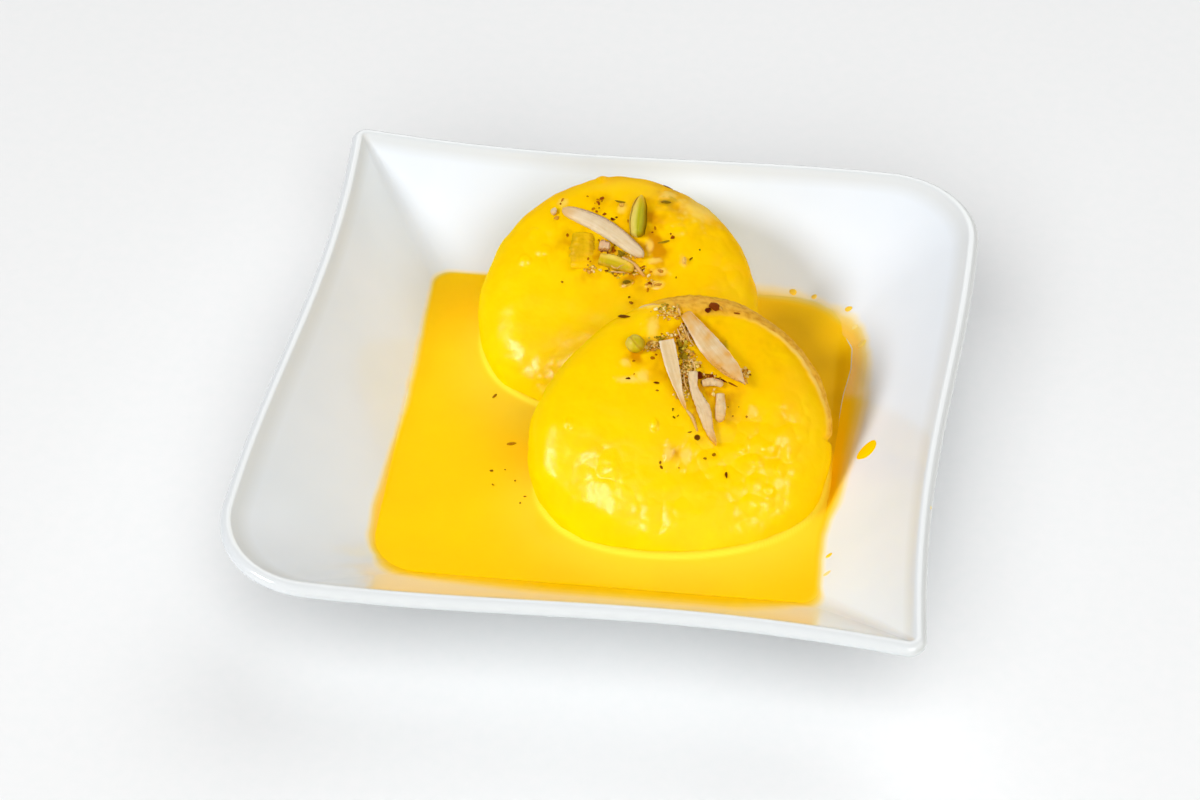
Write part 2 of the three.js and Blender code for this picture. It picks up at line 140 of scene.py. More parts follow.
# Soft bumps and bits under the milk coat, in a patty's plane: place, half length across,
# half length up the slope, height, and the stain that shows through
BACK["bumps"] = (
    (-2.0, 29.8, 1.3, 1.2, 0.55, None), (-15.5, 13.1, 1.6, 1.3, 0.45, None),
    (-19.7, 11.3, 1.4, 1.2, 0.3, None), (-17.5, 17.5, 1.5, 1.4, 0.35, None),
    (12.3, 22.4, 1.9, 0.9, 0.4, "olive"), (12.8, 24.4, 1.8, 1.2, 0.35, "tan"),
    (12.0, 19.0, 2.6, 1.8, 0.45, None), (14.5, 15.5, 2.0, 1.4, 0.4, None),
    (9.0, 8.4, 1.5, 0.6, 0.2, "tan"), (10.4, 5.7, 1.6, 0.8, 0.15, "tan"),
    (15.5, 7.9, 0.7, 1.4, 0.2, "tan"), (9.6, 2.8, 1.6, 0.8, 0.12, "tan"),
    (-0.9, 22.6, 1.7, 1.0, 0.2, None), (8.2, 12.0, 0.8, 1.4, 0.2, "tan"),
    (-10.6, 24.2, 1.1, 0.9, 0.2, "tan"), (-13.6, 18.6, 1.3, 1.8, 0.25, None),
    (2.6, 21.2, 1.0, 1.0, 0.3, "tan"), (2.6, 3.7, 1.3, 0.9, 0.25, "olive"),
    (20.5, 22.0, 5.0, 4.0, 0.1, "tan"), (0.4, 22.9, 1.0, 1.6, 0.2, None),
)
FRONT["bumps"] = (
    (-7.2, 1.6, 0.7, 1.3, 0.4, None), (-25.2, 1.3, 0.8, 1.1, 0.3, None),
    (-13.0, 11.2, 2.4, 0.7, 0.1, "tan"), (-10.2, 12.0, 1.3, 1.3, 0.15, "tan"),
    (-4.2, -4.3, 0.9, 1.8, 0.2, "tan"), (-0.2, -4.6, 1.1, 1.9, 0.15, "tan"),
    (13.4, 6.1, 0.9, 1.1, 0.15, "tan"), (6.8, 19.8, 1.0, 0.9, 0.2, "olive"),
    (-14.0, 15.0, 0.8, 0.9, 0.2, "tan"), (-8.6, 23.0, 1.2, 2.2, 0.2, "tan"),
    (-9.0, 28.4, 2.2, 0.5, 0.3, "tan"), (17.5, -2.0, 1.6, 1.3, 0.35, None),
    (14.6, -4.4, 1.5, 1.2, 0.3, None), (20.0, -6.0, 1.3, 1.6, 0.35, None),
    (11.2, -2.6, 1.3, 1.0, 0.25, None), (17.6, -10.8, 1.5, 1.2, 0.35, None),
)
PATTIES = (BACK, FRONT)


# Colour and shader helpers
def linear(hex_colour):
    """An sRGB hex colour as the linear values that shaders take."""
    shares = [int(hex_colour[i:i + 2], 16) / 255 for i in (0, 2, 4)]
    return (*(s / 12.92 if s <= 0.04045 else ((s + 0.055) / 1.055) ** 2.4 for s in shares), 1.0)


def socket(sockets, name):
    """The socket of this identifier, its spaces written as underscores."""
    return next(s for s in sockets if s.identifier.replace(" ", "_") == name)


def add(tree, kind, output=None, stops=(), **settings):
    """Adds a node and gives one of its outputs, the first where none is named. Settings in lower
    case are the node's own properties. The others are its sockets, and each takes another node's
    output, a number or a hex colour. Stops are a colour ramp's places and hex colours."""
    node = tree.nodes.new("ShaderNode" + kind)
    for name, value in settings.items():
        if name.islower():
            setattr(node, name, value)
        elif isinstance(value, bpy.types.NodeSocket):
            tree.links.new(value, socket(node.inputs, name))
        else:
            socket(node.inputs, name).default_value = linear(value) if isinstance(value, str) else value
    for number, (place, colour) in enumerate(stops):
        elements = node.color_ramp.elements
        element = elements[number] if number < len(elements) else elements.new(place)
        element.position = place
        element.color = linear(colour)
    return socket(node.outputs, output) if output else next(iter(node.outputs), None)


def scale_of(size_mm):
    """A pattern's scale from the real size of its features in millimetres."""
    return 1 / (size_mm * MM)


def lit_within(weight, depth, colours):
    """Settings for light that goes in and comes out again: its share, depth in millimetres, colours."""
    return dict(Subsurface_Weight=weight, Subsurface_Scale=depth * MM, Subsurface_Radius=colours)


def coated(weight, roughness, ior=1.5):
    """Settings for a clear layer on top, of fired glaze or wet milk."""
    return dict(Coat_Weight=weight, Coat_Roughness=roughness, Coat_IOR=ior)


def finish(build, name=None):
    """A material whose surface the given function builds in a bare tree."""
    material = bpy.data.materials.new(name or build.__name__)
    material.use_nodes = True
    tree = material.node_tree
    tree.nodes.clear()
    add(tree, "OutputMaterial", Surface=build(tree))
    return material


COLOUR_MIX = dict(kind="Mix", output="Result_Color", data_type="RGBA")
FULL_YELLOW = "FFC600"
WET_IOR = 1.34
NUT_IOR = 1.46


def tinted(tree, colour, **tints):
    """A colour with others laid over it, each where the mesh attribute of its name says."""
    for name, tint in tints.items():
        share = add(tree, "Attribute", "Fac", attribute_name=name)
        colour = add(tree, **COLOUR_MIX, Factor_Float=share, A_Color=colour, B_Color=tint)
    return colour


def milk_cover(tree, white, yellow):
    """Colours from bare white glaze through a thin film of milk to the full yellow of the pool."""
    cover = add(tree, "Attribute", "Fac", attribute_name="cover")
    film = add(tree, "ValToRGB", Fac=cover, stops=(
        (0.0, "E9E8E2"), (0.25, "F0E1B2"), (0.45, "F3D570"), (0.75, "F9CB2C"), (0.9, "FDC810"),
        (1.0, FULL_YELLOW)))
    wetted = add(tree, "MapRange", Value=cover, From_Max=0.15)
    pooled = add(tree, "MapRange", Value=cover, From_Min=0.85)
    colour = add(tree, **COLOUR_MIX, Factor_Float=wetted, A_Color=white, B_Color=film)
    return add(tree, **COLOUR_MIX, Factor_Float=pooled, A_Color=colour, B_Color=yellow)


def nut_fibre(tree):
    """The fibres in a nut's flesh, drawn out along its grain."""
    grain = add(tree, "Attribute", "Vector", attribute_name="grain")
    return add(tree, "TexNoise", Vector=grain, Scale=1.0, Detail=3.0)


def glazed_porcelain(tree):
    """Cast porcelain under a clear fired glaze: cool white, smooth with the faintest waviness,
    matt only on the ground foot, greyer on the lip as painted shade. A thin film of milk tints the
    wall beside the pool; up the front wall it is a painted reflection of the milk, and on the right
    wall across from the front patty it is partly painted shadow."""
    place = add(tree, "TexCoord", "Object")
    wave = add(tree, "TexNoise", Vector=place, Scale=scale_of(24), Detail=2.0)
    speck = add(tree, "TexNoise", Vector=place, Scale=scale_of(0.6), Detail=1.0)
    height = add(tree, "SeparateXYZ", "Z", Vector=place)
    white = add(tree, "ValToRGB", Fac=wave, stops=((0.35, "E0E5E7"), (0.7, "E5E9EB")))
    # Painted shade: the lip is greyed towards D8DAD7.
    lip = add(tree, "MapRange", Value=height, From_Min=(RIM_HEIGHT - 1.2) * MM,
              From_Max=(RIM_HEIGHT + 0.6) * MM)
    white = add(tree, **COLOUR_MIX, Factor_Float=lip, A_Color=white, B_Color="D8DAD7")
    unglazed_foot = add(tree, "MapRange", Value=height, From_Min=0.3 * MM, From_Max=0.8 * MM,
                        To_Min=0.6, To_Max=0.12)
    normal = add(tree, "Bump", Height=wave, Strength=0.05, Distance=0.5 * MM)
    normal = add(tree, "Bump", Height=speck, Strength=0.02, Distance=0.02 * MM, Normal=normal)
    return add(tree, "BsdfPrincipled", Base_Color=milk_cover(tree, white, FULL_YELLOW),
               Roughness=unglazed_foot, IOR=1.5, Normal=normal, **coated(0.3, 0.1))


def saffron_milk(tree):
    """Boiled milk thickened and dyed with saffron: opaque yellow, wet and level, with a painted
    highlight and painted light along the patties' waterline, painted shadow behind the patties, and
    pale where it thins out on the wall."""
    place = add(tree, "TexCoord", "Object")
    cloud = add(tree, "TexNoise", Vector=place, Scale=scale_of(16), Detail=3.0)
    cream = add(tree, "TexNoise", Vector=place, Scale=scale_of(2.5), Detail=3.0)
    yellow = add(tree, "ValToRGB", Fac=cloud, stops=((0.3, "FFC400"), (0.7, "FFCB00")))
    # Painted shadow (DCA800) behind the patties, painted light (FFE43C) along their waterline.
    yellow = tinted(tree, yellow, deep="DCA800", drawn_up="FFE43C")
    normal = add(tree, "Bump", Height=cream, Strength=0.1, Distance=0.08 * MM)
    return add(tree, "BsdfPrincipled", Base_Color=milk_cover(tree, "E3E5E7", yellow), Roughness=0.3,
               IOR=1.35, Specular_IOR_Level=0.0, Normal=normal, **coated(0.08, 0.08, WET_IOR))


def soaked_curd(tree):
    """Kneaded curd cooked in syrup and soaked: a soft lumpy sponge whose skin is wet with yellow
    milk, with bits of nut showing through. Painted shade makes it amber on top, round the nuts and in
    the hollows, painted light makes it lemon low down, and a painted highlight runs along the rim
    fold's edge. It is tan where it is bare at the rim, partly as painted shade."""
    place = add(tree, "TexCoord", "Object")
    cloud = add(tree, "TexNoise", Vector=place, Scale=scale_of(7), Detail=3.0)
    curd = add(tree, "TexNoise", Vector=place, Scale=scale_of(1.3), Detail=3.0)
    fine = add(tree, "TexNoise", Vector=place, Scale=scale_of(0.45), Detail=2.0)
    mottle = add(tree, "MapRange", Value=cloud, From_Min=0.3, From_Max=0.7, To_Min=-0.12, To_Max=0.12)
    # Painted shade and light: the ramp runs from lemon where lit to amber where shaded.
    deep = add(tree, "Attribute", "Fac", attribute_name="deep")
    deep = add(tree, "Math", operation="ADD", Value=deep, Value_001=mottle)
    colour = add(tree, "ValToRGB", Fac=deep, stops=((0.0, "F6D500"), (0.5, "F6C600"), (1.0, "F5B600")))
    rough = add(tree, "ValToRGB", Fac=curd, stops=((0.3, "D2901C"), (0.6, "E8AE34")))
    # Painted shade: amber round the nuts; painted highlight on the rim fold's pale edge; the bare tan is
    # partly painted shade.
    colour = tinted(tree, colour, amber="CC8700", bare=rough, ridge="EFCB6C", tan="F2CB5A", olive="B08A12")
    normal = add(tree, "Bump", Height=curd, Strength=0.2, Distance=0.25 * MM)
    normal = add(tree, "Bump", Height=fine, Strength=0.1, Distance=0.1 * MM, Normal=normal)
    return add(tree, "BsdfPrincipled", Base_Color=colour, Roughness=0.42, IOR=1.38,
               Specular_IOR_Level=0.0, Normal=normal,
               **lit_within(0.35, 2.0, (1.0, 0.6, 0.12)), **coated(0.14, 0.22, WET_IOR))


def cut_almond(tree):
    """Blanched almond cut along its grain: dry ivory flesh, faintly fibrous and grainy as sugar,
    pink-brown along an edge that kept its skin, amber where milk has soaked in."""
    place = add(tree, "TexCoord", "Object")
    fibre = nut_fibre(tree)
    patch = add(tree, "TexNoise", Vector=place, Scale=scale_of(3.0), Detail=2.0)
    sugar = add(tree, "TexNoise", Vector=place, Scale=scale_of(0.4), Detail=2.0)
    flesh = add(tree, "ValToRGB", Fac=fibre, stops=((0.3, "CBB182"), (0.7, "DAC79E")))
    dry = add(tree, "MapRange", Value=patch, From_Min=0.35, From_Max=0.7, To_Max=0.6)
    flesh = add(tree, **COLOUR_MIX, Factor_Float=dry, A_Color=flesh, B_Color="E3D4B0")
    skin = add(tree, "ValToRGB", Fac=sugar, stops=((0.4, "6B3D1A"), (0.6, "C09468")))
    colour = tinted(tree, flesh, pink="D2A98C", pale="EADFC8", skin=skin, soak="D49622")
    normal = add(tree, "Bump", Height=fibre, Strength=0.12, Distance=0.08 * MM)
    normal = add(tree, "Bump", Height=sugar, Strength=0.45, Distance=0.16 * MM, Normal=normal)
    return add(tree, "BsdfPrincipled", Base_Color=colour, Roughness=0.42, IOR=NUT_IOR,
               Specular_IOR_Level=0.3, Normal=normal, **lit_within(0.25, 1.2, (1.0, 0.7, 0.4)))


def cut_pistachio(tree):
    """Pistachio kernel cut lengthways: yellow-green flesh, pale along one side as painted light and
    dark along the other under its skin, partly painted shade, glossy where milk has wetted it."""
    fibre = nut_fibre(tree)
    flesh = add(tree, "ValToRGB", Fac=fibre, stops=((0.3, "A29A04"), (0.7, "BCB20A")))
    colour = tinted(tree, flesh, pale="E2CC5E", skin="9C7C00", soak="E0AC08")
    normal = add(tree, "Bump", Height=fibre, Strength=0.3, Distance=0.1 * MM)
    return add(tree, "BsdfPrincipled", Base_Color=colour, Roughness=0.4, IOR=NUT_IOR,
               Specular_IOR_Level=0.1, Normal=normal,
               **lit_within(0.15, 0.8, (0.8, 1.0, 0.3)), **coated(0.15, 0.2))


def soaked_pistachio(tree):
    """Pistachio soaked through with milk: translucent olive amber, soft and wet."""
    place = add(tree, "TexCoord", "Object")
    fibre = nut_fibre(tree)
    patch = add(tree, "TexNoise", Vector=place, Scale=scale_of(2.0), Detail=3.0)
    flesh = add(tree, "ValToRGB", Fac=fibre, stops=((0.3, "B48C00"), (0.7, "C49C04")))
    swollen = add(tree, "MapRange", Value=patch, From_Min=0.4, From_Max=0.7)
    flesh = add(tree, **COLOUR_MIX, Factor_Float=swollen, A_Color=flesh, B_Color="D8A80A")
    colour = tinted(tree, flesh, pale="E0B414", skin="A67A00", soak="F2BC00")
    normal = add(tree, "Bump", Height=fibre, Strength=0.15, Distance=0.12 * MM)
    normal = add(tree, "Bump", Height=patch, Strength=0.5, Distance=0.4 * MM, Normal=normal)
    return add(tree, "BsdfPrincipled", Base_Color=colour, Roughness=0.45, IOR=1.42,
               Specular_IOR_Level=0.05, Normal=normal,
               **lit_within(0.3, 1.2, (1.0, 0.8, 0.2)), **coated(0.06, 0.3))


def crushed(*tones):
    """Crushed bits: each has its own tone along the given colours, slightly mottled and dull, and
    amber low down where milk has soaked in."""
    def build(tree):
        place = add(tree, "TexCoord", "Object")
        tone = add(tree, "Attribute", "Fac", attribute_name="tone")
        tone = add(tree, "ValToRGB", Fac=tone, stops=tones)
        mottle = add(tree, "TexNoise", Vector=place, Scale=scale_of(0.3), Detail=2.0)
        shade = add(tree, "MapRange", Value=mottle, From_Min=0.3, From_Max=0.7, To_Min=0.75, To_Max=1.2)
        colour = tinted(tree, add(tree, "HueSaturation", Color=tone, Value=shade), soak="D49000")
        normal = add(tree, "Bump", Height=mottle, Strength=0.5, Distance=0.1 * MM)
        return add(tree, "BsdfPrincipled", Base_Color=colour, Roughness=0.5, IOR=NUT_IOR,
                   Specular_IOR_Level=0.04, Normal=normal, **lit_within(0.2, 0.5, (1.0, 0.7, 0.3)))
    return build


def matt_table(tree):
    """A plain pale tabletop in matt laminate."""
    place = add(tree, "TexCoord", "Object")
    fleck = add(tree, "TexNoise", Vector=place, Scale=scale_of(3.0), Detail=2.0)
    pale = add(tree, "ValToRGB", Fac=fleck, stops=((0.3, "E9EAEA"), (0.7, "EBEBEB")))
    return add(tree, "BsdfPrincipled", Base_Color=pale, Roughness=0.85, Specular_IOR_Level=0.1)


# Mesh helpers
SHARP_FROM = 75  # degrees between faces


def make_piece(name, skin, material, shades, replaces=(), smooth=True):
    """A mesh from a skin's millimetre vertices and its faces, riding on the one body; shades are
    values per vertex."""
    vertices, faces = skin
    mesh = bpy.data.meshes.new(name)
    mesh.from_pydata((vertices * MM).tolist(), [], faces)
    mesh.materials.append(material)
    for key, values in shades.items():
        kind, field = ("FLOAT_VECTOR", "vector") if values.ndim == 2 else ("FLOAT", "value")
        layer = mesh.attributes.new(key, kind, "POINT")
        layer.data.foreach_set(field, np.ascontiguousarray(values, np.float32).ravel())
    if smooth:
        mesh.shade_smooth()
        mesh.set_sharp_from_angle(angle=math.radians(SHARP_FROM))
    piece = bpy.data.objects.new(name, mesh)
    bpy.context.scene.collection.objects.link(piece)
    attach(piece, "root")
    if replaces:
        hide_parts(*replaces)
    return piece


def ring_faces(sizes):
    """Faces of a closed skin over rings of vertices; the first and last rings are single points."""
    faces = []
    start = 0
    for here, there in zip(sizes, sizes[1:]):
        after = start + here
        if here == 1:
            faces += [(start, after + (j + 1) % there, after + j) for j in range(there)]
        elif there == 1:
            faces += [(start + j, start + (j + 1) % here, after) for j in range(here)]
        else:
            faces += [(start + j, start + (j + 1) % here, after + (j + 1) % here, after + j)
                      for j in range(here)]
        start = after
    return faces


def skin_over(rings):
    """Vertices and outward faces of a closed skin over rings."""
    vertices = np.vstack(rings)
    faces = ring_faces([len(r) for r in rings])
    corners = vertices[np.array([f[:3] for f in faces])] - vertices.mean(0)
    if np.einsum("ij,ij->", corners[:, 0], np.cross(corners[:, 1], corners[:, 2])) < 0:
        faces = [tuple(reversed(face)) for face in faces]
    return vertices, faces


def capped(rings):
    """Rings with a point put on at each end."""
    return [rings[0].mean(0, keepdims=True), *rings, rings[-1].mean(0, keepdims=True)]


def joined(skins):
    """Several skins as one."""
    faces = []
    total = 0
    for vertices, sides in skins:
        faces += [tuple(total + i for i in side) for side in sides]
        total += len(vertices)
    return np.vstack([vertices for vertices, _ in skins]), faces


def smooth_step(low, high, value):
    share = np.clip((value - low) / (high - low), 0, 1)
    return share * share * (3 - 2 * share)


def hump(value, centre, width):
    return np.exp(-((value - centre) / width) ** 2)


def spots(points, places):
    """Round soft spots in plan, added up: place, spread, and strength where it isn't 1."""
    return sum(strength * hump(np.hypot(points[:, 0] - x, points[:, 1] - y), 0, size)
               for x, y, size, strength in ((*place, 1)[:4] for place in places))


def ripple(points, size, seed=0.0):
    """Smooth noise from -1 to 1 at each point, with features of about one size."""
    return np.array([noise.noise(p) for p in (np.asarray(points) / size + seed).tolist()])


def pebbled(points, size, seed=0.0):
    """Curd grains of about one size: 1 on the middle of each rounded grain, down to 0 between them."""
    nearest = [noise.voronoi(p)[0][0] for p in (np.asarray(points) / size + seed).tolist()]
    return np.maximum(1 - 1.3 * np.array(nearest) ** 2, 0)


def polar(degrees, length=1.0):
    angle = np.radians(degrees)
    return np.stack([np.cos(angle), np.sin(angle)], -1) * length


def turned(points, degrees):
    c, s = math.cos(math.radians(degrees)), math.sin(math.radians(degrees))
    return points @ np.array([[c, s], [-s, c]])


# The bowl's plan and wall
def outline(shape, offset):
    """One closed plan outline of the bowl, clockwise from the point at -X +Y."""
    leave, arrive = shape["leave"], shape["arrive"]
    half_angle = math.radians(45 + leave)
    tip_radius = max(shape["tip_radius"] + offset, 0.3)
    sharp = polar(135.0, shape["tip"] + offset / math.sin(half_angle))
    tip_centre = sharp - polar(135.0, tip_radius / math.sin(half_angle))
    corner_centre = np.array([shape["centre"]] * 2)
    corner_radius = shape["radius"] + offset
    start = tip_centre + polar(90 + leave, tip_radius)
    end = corner_centre + polar(90 + arrive, corner_radius)
    reach = np.linalg.norm(end - start)
    pull_start = start + polar(leave, reach * shape["pull"][0])
    pull_end = end - polar(arrive, reach * shape["pull"][1])
    tip_arc = tip_centre + polar(np.linspace(135, 90 + leave, TIP_STEPS, endpoint=False), tip_radius)
    t = np.linspace(0, 1, SIDE_STEPS, endpoint=False)[:, None]
    side = ((1 - t) ** 3 * start + 3 * (1 - t) ** 2 * t * pull_start
            + 3 * (1 - t) * t ** 2 * pull_end + t ** 3 * end)
    corner_arc = corner_centre + polar(np.linspace(90 + arrive, 45, CORNER_STEPS + 1), corner_radius)
    half = np.vstack([tip_arc, side, corner_arc])
    point_to_point = np.vstack([half, half[-2:0:-1, ::-1]])
    return turned(np.vstack([point_to_point, -point_to_point]), shape["turn"])


def wall_height(reach):
    """Height of the bowl's inner surface, by how far out it is from the floor's edge."""
    eased = (reach + np.hypot(reach, FLOOR_FILLET)) / 2
    return FLOOR_HEIGHT + WALL_SLOPE * eased + WALL_CURVE * eased ** 2


def wall_outline(reach, offset=0.0):
    """Plan outline of the bowl's inner surface at a reach, one value or one for each point."""
    if np.ndim(reach) == 0 and reach <= 0:
        return outline(FLOOR_LINE, offset) * (FLOOR_HALF + reach) / FLOOR_HALF
    reach = np.asarray(reach, float).reshape(-1, 1)
    at_floor = (reach - MILK_REACH) * (reach - RIM_REACH) / (MILK_REACH * RIM_REACH)
    at_milk = reach * (reach - RIM_REACH) / (MILK_REACH * (MILK_REACH - RIM_REACH))
    at_rim = reach * (reach - MILK_REACH) / (RIM_REACH * (RIM_REACH - MILK_REACH))
    return (at_floor * outline(FLOOR_LINE, offset) + at_milk * outline(MILK_LINE, offset)
            + at_rim * outline(RIM, offset - LIP_REACH))


def ring(points, height):
    return np.column_stack([points, np.broadcast_to(height, len(points))])


def centre_point(height):
    return np.array([[0.0, 0.0, height]])


WALL_DIRECTIONS = 720


def wall_table():
    """Radius of the wall by direction and reach, to look up the wall under any point."""
    angles = np.linspace(-math.pi, math.pi, WALL_DIRECTIONS + 1)
    reaches = np.arange(-30, RIM_REACH + 0.1, 1.2)
    radii = []
    for reach in reaches:
        points = wall_outline(reach)
        around = np.arctan2(points[:, 1], points[:, 0])
        order = np.argsort(around)
        radii.append(np.interp(angles, around[order], np.hypot(*points[order].T), period=2 * math.pi))
    return reaches, np.array(radii)


WALL_REACHES, WALL_RADII = wall_table()


def reach_under(x, y):
    """How far out on the bowl's inner surface a point of the plan lies."""
    column = (np.arctan2(y, x) + math.pi) / (2 * math.pi) * WALL_DIRECTIONS
    low = np.clip(column.astype(int), 0, WALL_DIRECTIONS - 1)
    share = column - low
    radii = WALL_RADII[:, low] * (1 - share) + WALL_RADII[:, low + 1] * share
    distance = np.hypot(x, y)
    index = np.clip((radii < distance).sum(0), 1, len(WALL_REACHES) - 1)
    columns = np.arange(len(distance))
    inner, outer = radii[index - 1, columns], radii[index, columns]
    share = np.clip((distance - inner) / (outer - inner), 0, 1)
    return WALL_REACHES[index - 1] * (1 - share) + WALL_REACHES[index] * share


def wall_under(x, y):
    return wall_height(reach_under(x, y))


def plan_angle(points):
    """Direction of plan points from the bowl's centre, in degrees from +X."""
    return np.degrees(np.arctan2(points[:, 1], points[:, 0]))


def by_direction(angle, pairs):
    """A value eased between (direction, value) pairs round the bowl."""
    directions, values = zip(*pairs)
    return np.interp(angle, directions, values, period=360)


def full_yellow(angle):
    """How far out past its level line the milk stays fully yellow, by direction."""
    drift = 0.3 * ripple(np.column_stack([polar(angle, 5.0), np.zeros(len(angle))]), 1.0, 8)
    return drift + by_direction(angle, YELLOW_REACH)


def last_film(angle):
    """How far out past the level line the last thin film of milk lies, by direction."""
    ragged = ripple(np.column_stack([polar(angle, 17.0), np.zeros(len(angle))]), 1.0, 3)
    return by_direction(angle, FILM_REACH) + 0.7 * ragged * by_direction(angle, FILM_RAGGED)


# Direction from the bowl's centre in degrees, and millimetres out past the milk's level line
YELLOW_REACH = (
    (-60, 0.2), (-48, -0.9), (-40, -1.7), (-34, -2.0), (-28, -1.9), (-24, -1.1), (-20, -0.5),
    (-16, 0.6), (-8, 0.9), (4, 1.2), (12, 1.6), (20, 2.2), (27, 3.2), (33, 3.0), (37, 1.6), (40, -0.4),
    (44, -2.4), (52, -3.4), (60, -3.0), (80, -1.0), (136, -1.0), (154, -2.0), (178, -2.2), (184, -1.5),
    (196, -0.7), (208, -0.4), (214, 0.1), (222, -0.6), (235, -0.6), (270, 0.4),
)
# Up the front wall, from about -120 to -60 degrees, the film is a painted reflection of the milk; on the
# right wall across from the front patty, about -20 to 30 degrees, it is partly painted shadow.
FILM_REACH = (
    (-75, 19.0), (-60, 19.0), (-48, 6.0), (-40, 1.4), (-28, 1.6), (-24, 2.3), (-20, 4.4), (-12, 5.4),
    (-8, 6.2), (0, 7.0), (12, 8.3), (20, 8.2), (28, 7.0), (36, 5.4), (40, 4.0), (44, 2.7), (48, 1.6),
    (52, 1.6), (60, 3.0), (70, 2.8), (80, 1.0), (136, 0.8), (160, 1.1), (190, 1.1), (202, 1.8),
    (214, 2.4), (226, 2.0), (240, 10.0), (262, 17.0),
)
FILM_RAGGED = (
    (-45, 0.3), (-20, 0.4), (0, 0.4), (28, 0.8), (62, 0.8), (80, 0.3), (130, 0.3), (180, 0.6),
    (270, 0.2),
)


def milk_cover_at(points, reach):
    """1 where the milk is fully yellow, 0 on bare glaze."""
    angle = plan_angle(points)
    full = MILK_REACH + full_yellow(angle)
    last = MILK_REACH + last_film(angle)
    return smooth_step(0, 1, (last - reach) / np.maximum(last - full, 0.9))


# Where the bowl's rings lie, by how far out from the floor's edge; they are closest where milk ends
FLOOR_REACHES = (-24, -16, -8)
WET_REACHES = np.arange(MILK_REACH - 2, MILK_REACH + 8, 0.25)
INSIDE_REACHES = np.concatenate([np.arange(-4, WET_REACHES[0], 0.9), WET_REACHES,
                                 np.arange(WET_REACHES[-1] + 0.5, RIM_REACH - 1.2, 0.8)])
OUTSIDE_REACHES = np.arange(35.5, 2.9, -1.25)
LIP_STEPS = 25
FOOT_TURN = (0, 30, 60, 90)


def make_bowl(material):
    rings = [centre_point(FLOOR_HEIGHT)]
    rings += [ring(wall_outline(reach), FLOOR_HEIGHT) for reach in FLOOR_REACHES]
    cover = [np.zeros(sum(len(r) for r in rings))]
    for reach in INSIDE_REACHES:
        points = wall_outline(reach)
        rings.append(ring(points, wall_height(reach)))
        cover.append(milk_cover_at(points, reach))
    for angle in np.radians(np.linspace(90 + LIP_LEAN, LIP_LEAN - 90, LIP_STEPS)):
        lift = LIP_RADIUS * math.sin(angle)
        rings.append(ring(outline(RIM, LIP_RADIUS * math.cos(angle)), RIM_HEIGHT + lift))
    for reach in OUTSIDE_REACHES:
        drop = 2 * LIP_DROP + BASE_THICKENING * (1 - reach / RIM_REACH)
        rings.append(ring(wall_outline(reach, 2 * LIP_REACH), wall_height(reach) - drop))
    outer, inner = FOOT_OUTER - FLOOR_HALF, FOOT_INNER - FLOOR_HALF
    rings.append(ring(wall_outline(outer), FOOT_HEIGHT + FOOT_EDGE))
    for start, bulge, angles in ((outer - FOOT_EDGE, FOOT_EDGE, FOOT_TURN),
                                 (inner + FOOT_EDGE, -FOOT_EDGE, FOOT_TURN[::-1])):
        for angle in np.radians(angles):
            points = wall_outline(start + bulge * math.cos(angle))
            rings.append(ring(points, FOOT_EDGE * (1 - math.sin(angle))))
    rings += [ring(wall_outline(reach), FOOT_HEIGHT) for reach in (inner, FLOOR_REACHES[1])]
    rings.append(centre_point(FOOT_HEIGHT))
    vertices, faces = skin_over(rings)
    vertices = np.clip(vertices, BOX_LOW, BOX_HIGH)
    cover = np.concatenate(cover)
    shades = {"cover": np.pad(cover, (0, len(vertices) - len(cover)))}
    return make_piece("porcelain_bowl", (vertices, faces), material, shades, ["dish"])


# The patties
def pose(patty):
    """Rotation matrix and centre of a patty."""
    lean, roll, turn = (math.radians(a) for a in (patty["lean"], patty["roll"], VIEW_TURN))
    rotation = Matrix.Rotation(turn, 3, "Z") @ Matrix.Rotation(roll, 3, "Y") @ Matrix.Rotation(lean, 3, "X")
    return np.array(rotation), np.array(patty["centre"])


def to_bowl(patty, local):
    rotation, centre = pose(patty)
    return local @ rotation.T + centre


def patty_radius(patty, angle):
    swell = sum(c * np.cos((k + 2) * angle) + s * np.sin((k + 2) * angle)
                for k, (c, s) in enumerate(patty["lobes"]))
    return patty["radius"] * (1 + swell)


def depth_in_patty(patty, points):
    """1 on the patty's surface, less inside and more outside."""
    rotation, centre = pose(patty)
    x, y, z = ((points - centre) @ rotation).T
    across = np.hypot(x, y) / patty_radius(patty, np.arctan2(y, x))
    thickness = np.where(z > 0, patty["above"], patty["below"])
    return (across ** PATTY_ROUNDNESS + np.abs(z / thickness) ** PATTY_ROUNDNESS) ** (1 / PATTY_ROUNDNESS)


def away_from_patty(patty, points):
    """Level distance from points to the patty's side, in millimetres, negative inside."""
    here = depth_in_patty(patty, points)
    step = 0.2
    slope_x = (depth_in_patty(patty, points + [step, 0, 0]) - here) / step
    slope_y = (depth_in_patty(patty, points + [0, step, 0]) - here) / step
    return (here - 1) / np.maximum(np.hypot(slope_x, slope_y), 0.01)


def stain_shares(patty, local):
    """How much of each bump lies at points of the patty's own frame."""
    shares = []
    ragged = 1 + 0.8 * ripple(local, 1.3, 71) + 0.5 * ripple(local, 0.7, 72)
    for x, y, across, up, height, stain in patty["bumps"]:
        spread_out = ((local[:, 0] - x) / across) ** 2 + ((local[:, 1] - y) / up) ** 2
        if stain:
            spread_out *= np.maximum(ragged, 0.2)
        shares.append((np.exp(-spread_out ** 2) * (local[:, 2] > 0), height, stain))
    return shares


# Lumps in the curd: size, seed, height everywhere, and how much higher at the rim and where it is busy
LUMPS = ((15, 0, 0.45, 0, 0), (5.2, 3, 0.14, 0.18, 0.1), (2.8, 7, 0.05, 0.05, 0), (1.2, 11, 0.02, 0.02, 0))
CURD_GRAIN = 3.6
CURD_GRAIN_HEIGHT = 0.42


